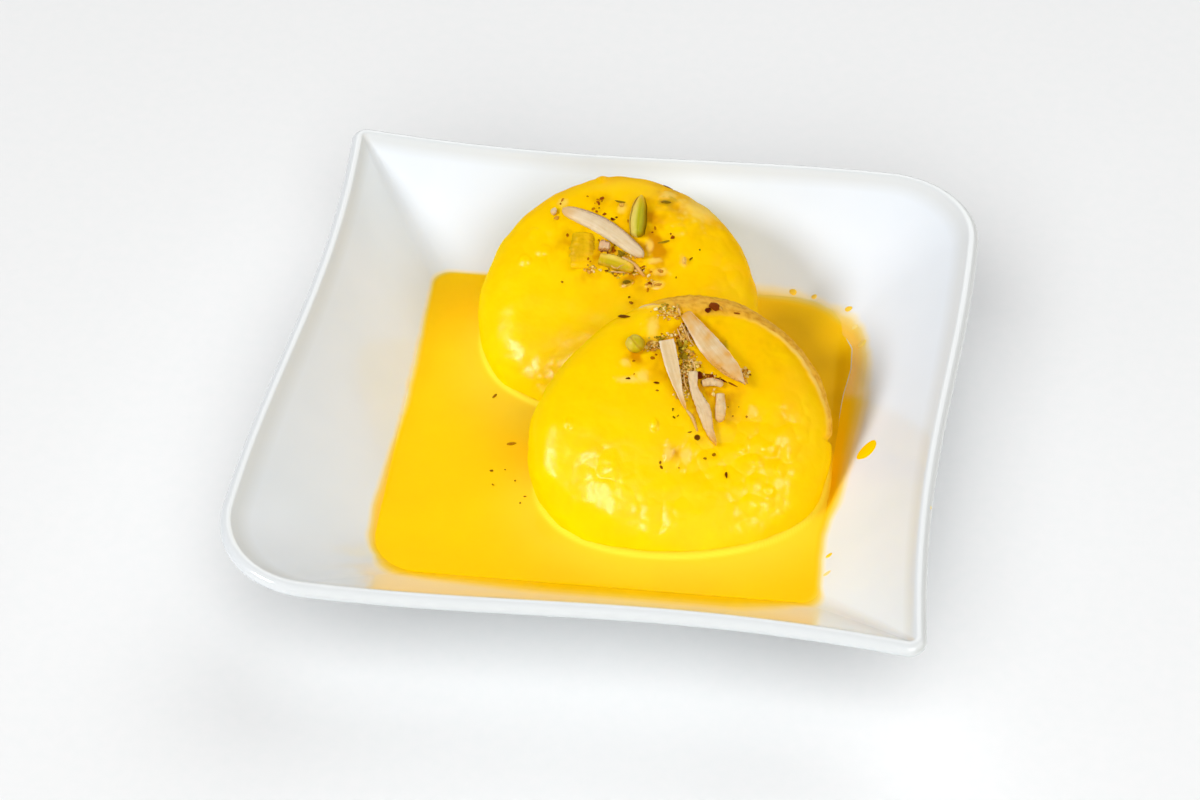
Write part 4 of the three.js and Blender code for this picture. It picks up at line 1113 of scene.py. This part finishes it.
# Crushed bits that stand out, first on the back patty, then on the front one, in the patty's plane:
# place, length, width, and turn of the long side where it isn't 0
BITS = {
    "crushed_almond": ((
        (-12.2, 20.6, 1.3, 0.9), (2.5, 21.9, 1.2, 1.1, 30), (15.6, 7.8, 0.9, 1.8, -10),
        (-3.0, 7.0, 0.8, 0.7), (-5.3, 6.9, 1.0, 0.9, 20), (-4.5, 8.0, 0.9, 0.7, 60),
        (-6.4, 7.3, 0.8, 0.7), (-1.2, 7.6, 0.7, 0.6), (10.3, 5.8, 1.6, 0.7, -10),
        (9.4, 2.7, 1.9, 0.7, 5), (7.7, 4.9, 0.9, 0.6, 40), (-5.0, 18.6, 0.7, 0.6),
    ), (
        (5.9, 28.6, 1.1, 1.0), (-7.8, 27.6, 0.9, 0.8), (-7.0, 27.1, 0.8, 0.7, 40),
        (-6.1, 27.6, 1.0, 0.8, 10), (-3.2, 27.6, 0.6, 1.6, -25), (-3.9, 26.2, 1.6, 1.0, 10),
        (-8.9, 19.4, 1.5, 1.0, 30), (-8.4, 18.1, 1.0, 0.9), (-9.7, 18.5, 0.9, 0.8),
        (-1.0, 23.3, 0.7, 0.6), (-1.7, 22.4, 0.8, 0.6, 50), (-2.4, 23.9, 0.7, 0.6),
        (-0.1, 17.5, 1.3, 1.0, 20), (-0.9, 18.3, 0.9, 0.8), (0.4, 16.6, 1.0, 0.8, 60),
        (0.9, 15.6, 1.0, 0.8), (1.3, 14.8, 0.9, 0.7, 30), (0.1, 14.9, 0.9, 0.8), (1.8, 15.7, 0.8, 0.7),
        (-1.2, 14.6, 0.9, 0.8), (-2.1, 13.6, 1.0, 0.8, 40), (-0.9, 13.1, 0.9, 0.8),
        (-2.4, 12.1, 0.9, 0.7), (-1.3, 11.4, 1.1, 0.9, 20), (-2.2, 10.3, 1.0, 0.8),
        (-0.9, 9.8, 0.9, 0.7, 60), (-1.9, 9.1, 0.8, 0.6), (10.6, 15.0, 0.8, 0.7),
        (11.5, 15.4, 0.9, 0.7, 20), (12.3, 14.6, 0.8, 0.7), (11.9, 13.6, 0.8, 0.6),
        (10.9, 13.5, 0.7, 0.6), (10.4, 14.2, 0.8, 0.6, 70), (4.9, 8.9, 1.0, 0.8, 80),
        (5.0, 10.0, 0.9, 0.7, 20), (11.9, 12.5, 1.3, 0.6, -60),
    )),
    "crushed_pistachio": ((
        (1.7, 10.5, 1.7, 1.2, -30), (2.7, 3.7, 1.8, 0.9), (2.0, 23.0, 2.5, 0.5, -12),
        (11.2, 12.6, 2.7, 0.5, 10), (-2.3, 8.6, 0.7, 0.6), (0.0, 7.1, 1.0, 0.5, 10),
        (1.4, 6.7, 1.2, 0.5), (2.9, 6.6, 1.1, 0.5, -5), (-0.9, 6.3, 0.8, 0.5), (4.4, 5.6, 0.9, 0.5, 10),
        (12.0, 22.3, 2.4, 0.7, -8), (0.9, 5.0, 0.8, 0.5),
    ), (
        (-6.3, 20.5, 1.0, 0.8), (-6.9, 21.0, 0.7, 0.6), (-5.6, 21.1, 0.8, 0.5, 30),
        (-2.7, 19.9, 0.9, 1.9, 20), (-2.2, 18.5, 1.3, 1.1), (-1.4, 20.1, 0.9, 1.2),
        (-1.7, 16.9, 1.6, 2.0, 15), (6.9, 19.5, 1.2, 0.7, 50), (-6.3, 28.5, 0.6, 0.5),
        (-5.4, 28.7, 0.6, 0.4), (-3.2, 28.8, 0.5, 0.5), (-2.9, 12.9, 0.6, 0.5), (0.5, 15.9, 0.6, 0.5),
        (-1.6, 12.4, 0.6, 0.5), (-0.6, 15.4, 0.9, 0.7),
    )),
    "nut_skin_flakes": ((
        (-10.8, 24.9, 0.5, 1.0, -20), (-11.2, 24.0, 0.5, 0.5), (-5.1, 25.1, 0.6, 0.5),
        (-1.9, 24.2, 0.9, 0.8), (-2.6, 23.1, 0.5, 0.9, 20), (-3.8, 21.6, 0.9, 0.8),
        (-3.1, 21.0, 0.7, 0.6), (-1.4, 20.1, 0.9, 0.8), (0.4, 18.7, 1.3, 0.7, -10),
        (1.2, 19.0, 0.6, 0.5), (3.7, 18.0, 0.4, 0.9, 10), (9.6, 16.0, 0.5, 1.0, 10),
        (9.0, 15.0, 0.5, 0.4), (13.4, 13.6, 1.0, 0.9, 40), (13.0, 14.4, 0.4, 0.5),
        (17.1, 8.4, 1.2, 0.4, 50), (7.8, 3.3, 1.1, 0.6, -35), (7.3, 1.8, 0.5, 1.2, -15),
        (6.5, 6.4, 1.3, 0.5, 45), (8.2, 5.8, 0.7, 0.5), (-5.6, 9.7, 0.9, 0.8), (-5.0, 9.2, 0.5, 0.4),
        (-1.6, 6.7, 1.2, 0.5, 10), (0.4, 5.5, 1.0, 0.5), (0.2, 11.4, 0.8, 1.6), (-0.7, 10.9, 0.6, 0.5),
        (12.8, 27.7, 2.4, 0.5, -17), (5.0, 7.6, 1.0, 0.4, -40), (-3.0, 14.0, 0.5, 0.7),
        (-10.0, 16.0, 0.6, 0.9),
    ), (
        (4.4, 28.8, 2.6, 1.9, 5), (3.2, 28.0, 1.4, 1.2, 40), (-2.9, 23.5, 0.8, 0.7),
        (-1.8, 22.9, 0.7, 0.6), (-1.2, 21.2, 1.0, 0.9), (-2.7, 21.4, 0.5, 1.0, 30),
        (-2.2, 24.4, 0.6, 0.5), (-3.8, 13.7, 1.6, 0.7, 15), (-8.2, 16.1, 1.0, 0.8),
        (-7.6, 17.0, 0.6, 0.5), (-12.2, 15.4, 0.7, 0.5, 30), (-12.0, 12.4, 0.4, 0.4),
        (-13.3, 11.4, 1.2, 0.5, 5), (-7.3, 10.7, 1.3, 0.5), (-7.0, 9.0, 0.7, 0.4),
        # From (2.0, 13.0) to (9.0, 11.5): nut skin, partly dark bits laid along the shadow under the almond
        # flake.
        (2.0, 13.0, 2.0, 1.7, 20), (3.9, 12.9, 2.6, 1.0, -10), (6.6, 12.3, 2.6, 0.5, -18),
        (9.0, 11.5, 2.6, 0.4, -20), (2.7, 8.2, 1.1, 0.6), (11.2, 14.6, 0.5, 0.5),
        (12.0, 15.1, 0.5, 0.5), (11.6, 14.0, 0.5, 0.4), (12.7, 14.0, 0.5, 0.4), (8.4, -8.2, 0.6, 1.4),
        (-0.9, 10.9, 1.0, 0.4, 30), (3.2, 6.2, 0.3, 2.8, -12), (1.9, 15.0, 0.5, 0.9),
        (9.6, 28.0, 1.4, 0.4, -10), (-6.5, 21.8, 0.5, 0.4),
    )),
    "cardamom_seeds": ((
        (3.5, -1.0, 1.0, 0.6, -20), (3.1, 0.3, 0.6, 0.5), (-11.6, 5.1, 0.6, 0.6), (13.6, 4.1, 0.4, 0.5),
        (19.2, 10.5, 0.4, 0.4), (12.3, 27.9, 1.4, 0.4, -17),
    ), (
        (-14.4, 26.1, 2.2, 1.0), (1.9, -0.6, 1.2, 1.2), (5.6, -4.0, 0.8, 0.9, -30),
        (3.8, -5.0, 0.7, 0.5), (-5.6, -6.5, 0.5, 1.0, 20), (-5.3, -7.4, 0.9, 0.6, -40),
        (-1.6, -7.3, 0.4, 0.4), (-3.5, 5.1, 0.4, 0.8), (-3.2, 3.4, 0.7, 0.4, -40),
        (-2.4, 3.8, 0.7, 0.3, 40), (9.3, 4.6, 0.4, 0.4), (12.3, 4.7, 0.5, 0.5), (8.2, 6.5, 0.3, 0.3),
        (10.5, 6.7, 0.3, 0.3), (0.3, 0.5, 0.9, 0.3, 15),
    )),
}
# Finer crumbs strewn at random: patty, place, spread across and up, count, height of the heap
CRUMBS = {
    "crushed_almond": (
        (BACK, 4.0, 6.4, 3.0, 1.2, 40, 0.5), (BACK, -5.0, 7.4, 1.4, 0.8, 16, 0.3),
        (BACK, 8.2, 3.4, 1.6, 1.2, 10, 0.1), (BACK, 3.0, 9.0, 1.6, 1.2, 20, 0.5),
        (FRONT, -0.7, 13.6, 1.7, 3.8, 230, 1.3), (FRONT, -1.6, 9.6, 1.6, 2.2, 60, 1.2),
        (FRONT, -1.8, 21.4, 1.7, 2.6, 90, 0.9), (FRONT, -5.0, 26.6, 3.2, 1.4, 60, 0.5),
        (FRONT, -8.2, 19.2, 1.7, 1.3, 46, 0.7), (FRONT, 11.4, 14.3, 1.0, 0.8, 24, 0.8),
        (FRONT, 4.6, 12.6, 2.2, 0.9, 20, 0.3), (FRONT, -4.6, 21.4, 1.6, 0.7, 16, 0.6),
    ),
    "crushed_pistachio": (
        (BACK, 2.0, 6.5, 2.6, 0.9, 30, 0.4), (BACK, 1.6, 10.2, 1.6, 0.9, 14, 0.3),
        (FRONT, -1.8, 18.2, 1.6, 2.4, 46, 0.9), (FRONT, -0.6, 13.8, 1.6, 3.0, 50, 1.2),
        (FRONT, -7.4, 20.2, 1.4, 1.0, 18, 0.6), (FRONT, -5.4, 27.6, 2.4, 1.0, 22, 0.3),
    ),
    "nut_skin_flakes": (
        (FRONT, -2.0, 21.6, 1.4, 2.4, 34, 0.8), (FRONT, 11.5, 14.4, 0.9, 0.8, 12, 0.9),
        (FRONT, 3.6, 12.8, 2.2, 0.7, 24, 0.3), (BACK, 4.6, 6.6, 2.4, 0.9, 16, 0.5),
        (BACK, -2.6, 23.0, 1.2, 1.4, 8, 0.0), (FRONT, -0.8, 12.6, 1.4, 3.2, 34, 1.3),
        (BACK, -1.4, 12.0, 1.6, 1.0, 10, 0.3),
    ),
    "cardamom_seeds": (
        (BACK, 0.6, 6.2, 2.4, 0.7, 6, 0.3), (FRONT, -0.6, 13.8, 1.2, 3.0, 10, 1.1),
    ),
}
CRUMB_SIZES = (0.27, 0.7)
LARGE_BIT = 1.0  # longer bits are darker, having more skin
BIT_SUNK = 0.3  # share of a bit's thickness that lies in the milk coat
BIT_SHAPES = 8
BROKEN_FACES = 5
# Husk bits afloat on the milk: place, length, width, turn
FLOATING_HUSKS = (
    (-21.7, -8.1, 2.2, 0.85, 12), (-28.0, 6.3, 1.5, 0.5, 65), (-24.6, -16.9, 0.8, 0.45, 20),
    (-23.6, -21.1, 0.8, 0.4, -30), (-19.1, -19.2, 0.4, 0.3, 0), (-16.2, -23.6, 0.7, 0.25, 10),
    (-16.9, -25.6, 0.45, 0.25, 60), (-21.8, -16.2, 0.3, 0.2, 0),
)


def bit_shape(rng):
    """One crushed bit: a small round solid with flat broken faces, about one unit across."""
    bit = bpy.data.meshes.new("bit")
    ball = bmesh.new()
    bmesh.ops.create_icosphere(ball, subdivisions=2, radius=0.5)
    ball.to_mesh(bit)
    ball.free()
    points = np.array([v.co[:] for v in bit.vertices])
    faces = [tuple(p.vertices) for p in bit.polygons]
    bpy.data.meshes.remove(bit)
    for _ in range(BROKEN_FACES):
        facing = rng.normal(size=3)
        facing /= np.linalg.norm(facing)
        over = np.maximum(points @ facing - rng.uniform(0.2, 0.36), 0)
        points = points - over[:, None] * facing
    return points / np.ptp(points, axis=0), faces


def spun(points, rng):
    axis = Vector(rng.normal(size=3)).normalized()
    return points @ np.array(Matrix.Rotation(rng.uniform(0, 2 * math.pi), 3, axis)).T


def scatter(name, material, thickness, seed, soaking):
    """Every bit of one kind, joined in one mesh, partly sunk in the milk coat; soaking is how amber
    milk turns their lower parts."""
    rng = np.random.default_rng(seed)
    shapes = [bit_shape(rng) for _ in range(BIT_SHAPES)]
    lying = [(patty, *(*bit, 0)[:5], 0.0) for patty, bits in zip(PATTIES, BITS[name]) for bit in bits]
    for patty, x, y, across, up, count, heap in CRUMBS[name]:
        for _ in range(count):
            offset = np.clip(rng.normal(size=2) * 0.5, -1.2, 1.2)
            long = rng.uniform(*CRUMB_SIZES)
            wide = long * rng.uniform(0.55, 0.95)
            turn = rng.uniform(0, 360)
            lift = heap * max(0, 1 - np.hypot(*offset)) * rng.uniform(0, 1)
            lying.append((patty, x + offset[0] * across, y + offset[1] * up, long, wide, turn, lift))
    skins, tones, soak = [], [], []
    for patty, x, y, long, wide, turn, lift in lying:
        points, sides = shapes[rng.integers(BIT_SHAPES)]
        tall = thickness * max(wide, 0.4)
        body = spun(points, rng) * [long, wide, tall]
        soak.append(smooth_step(0.25, -0.3, body[:, 2] / tall) * (0.95 if lift < 0.3 else 0.6) * soaking)
        flat = turned(body[:, :2], turn) + [x, y]
        height = body[:, 2] + tall * (0.5 - BIT_SUNK) + lift
        skins.append((over_patty(patty, flat[:, 0], flat[:, 1], height), sides))
        tones.append(np.full(len(points), rng.uniform(0, 1) * (0.3 if long > LARGE_BIT else 1.0)))
    for x, y, long, wide, turn in FLOATING_HUSKS if name == "cardamom_seeds" else ():
        points, sides = shapes[rng.integers(BIT_SHAPES)]
        body = points * [long, wide, 0.5]
        flat = turned(body[:, :2], turn) + [x, y]
        skins.append((ring(flat, MILK_HEIGHT + 0.08 + body[:, 2]), sides))
        tones.append(np.full(len(points), rng.uniform(0.55, 1)))
        soak.append(np.zeros(len(points)))
    shades = {"tone": np.concatenate(tones), "soak": np.concatenate(soak)}
    return make_piece(name, joined(skins), material, shades, smooth=False)


# Thin shreds: patty, places along it, thickness and how far it stands off
SHREDS = (
    (FRONT, ((-0.6, 5.2), (0.7, 3.6), (1.9, 0.8)), 0.7, 0.0),
    (FRONT, ((-3.4, 28.2), (-2.9, 27.0), (-2.6, 26.0)), 0.5, 0.4),
    (FRONT, ((-11.1, 28.2), (-9.0, 28.7), (-7.0, 28.6)), 0.5, -0.1),
    (FRONT, ((-2.4, 24.2), (-1.5, 22.3), (-1.0, 20.4)), 0.35, 0.7),
    (FRONT, ((-3.2, 23.0), (-2.6, 21.4), (-2.4, 20.0)), 0.3, 0.5),
    (FRONT, ((-1.2, 22.4), (-0.6, 20.6), (0.4, 19.2)), 0.3, 0.8),
    (FRONT, ((-0.2, 16.0), (0.6, 14.6), (0.7, 12.6)), 0.35, 1.2),
    (FRONT, ((-1.6, 12.6), (-1.4, 11.0), (-0.6, 9.4)), 0.3, 1.0),
    (BACK, ((-0.6, 6.3), (2.0, 6.0), (5.0, 6.4)), 0.4, 0.6),
    (BACK, ((2.0, 9.5), (4.6, 7.6), (6.7, 4.8)), 0.9, 0.3),
    (BACK, ((0.8, 6.6), (1.6, 7.2), (2.6, 7.5)), 0.28, 1.3),
    (BACK, ((2.0, 6.4), (3.0, 7.0), (4.0, 7.0)), 0.28, 1.0),
    (BACK, ((-0.4, 7.4), (0.3, 6.9), (1.2, 6.8)), 0.28, 1.2),
)
SHRED_STEPS = 24
SHRED_AROUND = 10


def make_threads(material):
    """Thin shreds of almond, lying on the heap or half sunk in the milk coat."""
    skins = []
    turn = np.linspace(0, 2 * math.pi, SHRED_AROUND, endpoint=False)
    for patty, along, thickness, lift in SHREDS:
        points, heading = curve_through(along, SHRED_STEPS)
        across = np.column_stack([-heading[:, 1], heading[:, 0]])
        taper = np.sin(np.linspace(0.15, math.pi - 0.15, SHRED_STEPS)) ** 0.4 * thickness / 2
        rings = []
        for point, side, radius in zip(points, across, taper):
            flat = point + side * (np.cos(turn) * radius)[:, None]
            rings.append(over_patty(patty, flat[:, 0], flat[:, 1], lift + np.sin(turn) * radius))
        skins.append(skin_over(capped(rings)))
    vertices, faces = joined(skins)
    shades = dict.fromkeys(("skin", "pink", "pale"), np.zeros(len(vertices)))
    shades["soak"] = np.concatenate([np.linspace(0.4, 0.9, len(points)) for points, _ in skins])
    shades["grain"] = vertices / 0.5
    return make_piece("almond_threads", (vertices, faces), material, shades)


# Splashes on the wall: plan place, half length, half width, turn of the long side, height, yellowness
SPLASHES = (
    (55.1, -5.1, 2.6, 1.7, 60, 0.55, 1.0), (49.9, -32.4, 0.7, 0.5, 0, 0.25, 0.75),
    (69.9, -32.1, 0.6, 0.4, 80, 0.12, 0.3), (50.8, 31.4, 0.9, 0.8, 20, 0.3, 0.5),
    (46.6, 44.6, 0.8, 0.7, 0, 0.3, 0.7), (50.0, -37.5, 0.8, 0.5, 10, 0.1, 0.4),
    (48.6, 38.2, 0.7, 0.6, 0, 0.25, 0.4), (33.5, 49.4, 0.8, 0.6, 0, 0.3, 0.7),
    (38.4, 48.8, 0.6, 0.5, 0, 0.25, 0.6),
)
SPLASH_PROFILE = (
    (0.5, -0.05), (1.0, -0.04), (0.98, 0.15), (0.9, 0.45), (0.75, 0.72), (0.5, 0.9), (0.25, 0.98),
)
SPLASH_AROUND = 40


def make_splashes(material):
    """Drops of milk that sit on the bowl's wall."""
    skins, cover = [], []
    around = np.linspace(0, 2 * math.pi, SPLASH_AROUND, endpoint=False)
    for x, y, long, wide, turn, tall, yellow in SPLASHES:
        uneven = 1 + 0.08 * np.sin(2 * around + x) + 0.05 * np.sin(3 * around + y)
        oval = np.column_stack([np.cos(around) * long, np.sin(around) * wide]) * uneven[:, None]
        rounds = turned(oval, turn)
        vertices, sides = skin_over([
            np.array([[x, y, SPLASH_PROFILE[0][1]]]),
            *(ring(rounds * share + [x, y], height if height < 0 else height * tall)
              for share, height in SPLASH_PROFILE),
            np.array([[x, y, tall]])])
        vertices[:, 2] += wall_under(vertices[:, 0], vertices[:, 1])
        skins.append((vertices, sides))
        cover.append(np.full(len(vertices), yellow))
    shades = {"cover": np.concatenate(cover)}
    shades["drawn_up"] = shades["deep"] = np.zeros(len(shades["cover"]))
    return make_piece("milk_splashes", joined(skins), material, shades)


# Crushed kinds: piece, material, slot, thickness for each unit of width, seed, how amber milk turns
# the bits, and their colours
CRUSHED = (
    ("crushed_almond", "crushed_almond", "almond", 0.8, 11, 1.0,
     ((0.0, "BC7C1C"), (0.35, "DEAA44"), (0.75, "EAC66C"), (1.0, "F4DEA0"))),
    ("crushed_pistachio", "crushed_pistachio", "pistachio", 0.8, 12, 0.9,
     ((0.0, "7A6208"), (0.5, "A98A10"), (1.0, "CDB63A"))),
    ("nut_skin_flakes", "nut_skin", "almond", 0.5, 13, 0.55,
     ((0.0, "561400"), (0.4, "944400"), (1.0, "C88200"))),
    ("cardamom_seeds", "cardamom_seed", "pistachio", 0.6, 14, 0.35,
     ((0.0, "2A1200"), (0.4, "7E4600"), (1.0, "BC7C00"))),
)
milk = finish(saffron_milk)
curd = finish(soaked_curd)
almond = finish(cut_almond)
pistachio = finish(cut_pistachio)
nut_finishes = {"almond": (almond, "almond"), "pistachio": (pistachio, "pistachio"),
                "soaked": (finish(soaked_pistachio), "soaked_pistachio")}

make_bowl(finish(glazed_porcelain))
food_pieces = [make_milk(milk), make_patty("back_patty_curd", BACK, curd, "patty_back"),
               make_patty("front_patty_curd", FRONT, curd, "patty_front", clear_of=BACK)]
for nut_name, nut in NUTS.items():
    make_nut(nut_name, nut, nut_finishes)
make_nib(pistachio)
for name, look, slot, thickness, seed, soaking, tones in CRUSHED:
    scatter(name, finish(crushed(*tones), look), thickness, seed, soaking)
make_threads(almond)
make_splashes(milk)

# The table, which isn't part of the object
TABLE_HALF = 4.0
table_mesh = bpy.data.meshes.new("table")
corners = [(x * TABLE_HALF, y * TABLE_HALF, 0) for x, y in ((-1, -1), (1, -1), (1, 1), (-1, 1))]
table_mesh.from_pydata(corners, [], [(0, 1, 2, 3)])
table_mesh.materials.append(finish(matt_table))
table = bpy.data.objects.new("table", table_mesh)
bpy.context.scene.collection.objects.link(table)

# The camera: the photograph's viewing line onto the middle of the rim
VIEW_ELEVATION = 43.2
VIEW_DISTANCE = 700.0
PHOTO_WIDTH = 1200
PHOTO_HEIGHT = 800
FOCAL_PIXELS = 3256.0
RIM_CENTRE_PIXEL = (616.07, 371.25)
SENSOR_WIDTH = 36.0

elevation, turn = math.radians(VIEW_ELEVATION), math.radians(VIEW_TURN)
ahead = Vector((-math.sin(turn) * math.cos(elevation), math.cos(turn) * math.cos(elevation),
                -math.sin(elevation)))
right = Vector((math.cos(turn), math.sin(turn), 0))
up = right.cross(ahead)
eye = Vector((0, 0, RIM_HEIGHT)) - ahead * VIEW_DISTANCE
pan = math.atan((RIM_CENTRE_PIXEL[0] - PHOTO_WIDTH / 2) / FOCAL_PIXELS)
tilt = math.atan((PHOTO_HEIGHT / 2 - RIM_CENTRE_PIXEL[1]) / FOCAL_PIXELS)
panned_right = right * math.cos(pan) + ahead * math.sin(pan)
panned_ahead = ahead * math.cos(pan) - right * math.sin(pan)
tilted_up = up * math.cos(tilt) + panned_ahead * math.sin(tilt)
tilted_ahead = panned_ahead * math.cos(tilt) - up * math.sin(tilt)
camera_data = bpy.data.cameras.new("camera")
camera_data.sensor_width = SENSOR_WIDTH
camera_data.lens = FOCAL_PIXELS / PHOTO_WIDTH * SENSOR_WIDTH
camera = bpy.data.objects.new("camera", camera_data)
bpy.context.scene.collection.objects.link(camera)
axes = Matrix((panned_right, tilted_up, -tilted_ahead)).transposed()
camera.matrix_world = Matrix.Translation(eye * MM) @ axes.to_4x4()
bpy.context.scene.camera = camera


LIGHT_DISTANCE = 3.0
PLAIN = (1.0, 1.0, 1.0)
COOL = (0.95, 0.98, 1.07)  # offsets the yellow that the milk throws on the wall across from it


def soft_light(name, azimuth, elevation, size, watts, tint):
    """A round softbox LIGHT_DISTANCE away that faces the bowl; azimuth is in degrees from +X."""
    light = bpy.data.lights.new(name, "AREA")
    light.shape = "DISK"
    light.size = size
    light.energy = watts
    light.color = tint
    lamp = bpy.data.objects.new(name, light)
    lift = math.radians(elevation)
    place = Vector((*polar(azimuth, math.cos(lift)), math.sin(lift)))
    lamp.location = place * LIGHT_DISTANCE
    lamp.rotation_mode = "QUATERNION"
    lamp.rotation_quaternion = (-place).to_track_quat("-Z", "Y")
    bpy.context.scene.collection.objects.link(lamp)
    return lamp


def group(name, *members):
    """A collection that says what a lamp lights."""
    collection = bpy.data.collections.new(name)
    for member in members:
        collection.objects.link(member)
    return collection


off_table = group("off_table", table)
off_table.collection_objects[0].light_linking.link_state = "EXCLUDE"
only_table = group("only_table", table)
food = group("food", *food_pieces)
bpy.context.scene.collection.children.link(food)

# Softboxes for the object and for the table, then small lamps that only add wet glints to the food
for name, azimuth, elevation, size, watts, tint, lit in (
        ("left_softbox", -150, 36, 1.0, 68, COOL, off_table),
        ("front_softbox", -60, 36, 2.6, 58, PLAIN, off_table),
        ("right_softbox", 0, 36, 2.6, 24, PLAIN, off_table),
        ("back_softbox", 90, 36, 2.6, 36, PLAIN, off_table),
        ("table_front_softbox", -90, 46, 3.0, 108, PLAIN, only_table),
        ("table_back_softbox", 60, 55, 3.0, 39, PLAIN, only_table),
        ("table_left_softbox", -150, 45, 2.6, 17, PLAIN, only_table),
        ("left_glint", -138, 38, 0.45, 110, PLAIN, food),
        ("front_glint", -100, 50, 0.5, 110, PLAIN, food),
        ("right_glint", -35, 43, 0.7, 80, PLAIN, food)):
    lamp = soft_light(name, azimuth, elevation, size, watts, tint)
    lamp.light_linking.receiver_collection = lit
    lamp.visible_diffuse = lit is not food

world = bpy.data.worlds.new("studio")
world.use_nodes = True
sky = world.node_tree.nodes["Background"].inputs
sky["Color"].default_value = (1, 1, 1, 1)
sky["Strength"].default_value = 0.9
world.cycles_visibility.diffuse = False
bpy.context.scene.world = world
bpy.context.scene.view_settings.view_transform = "Standard"
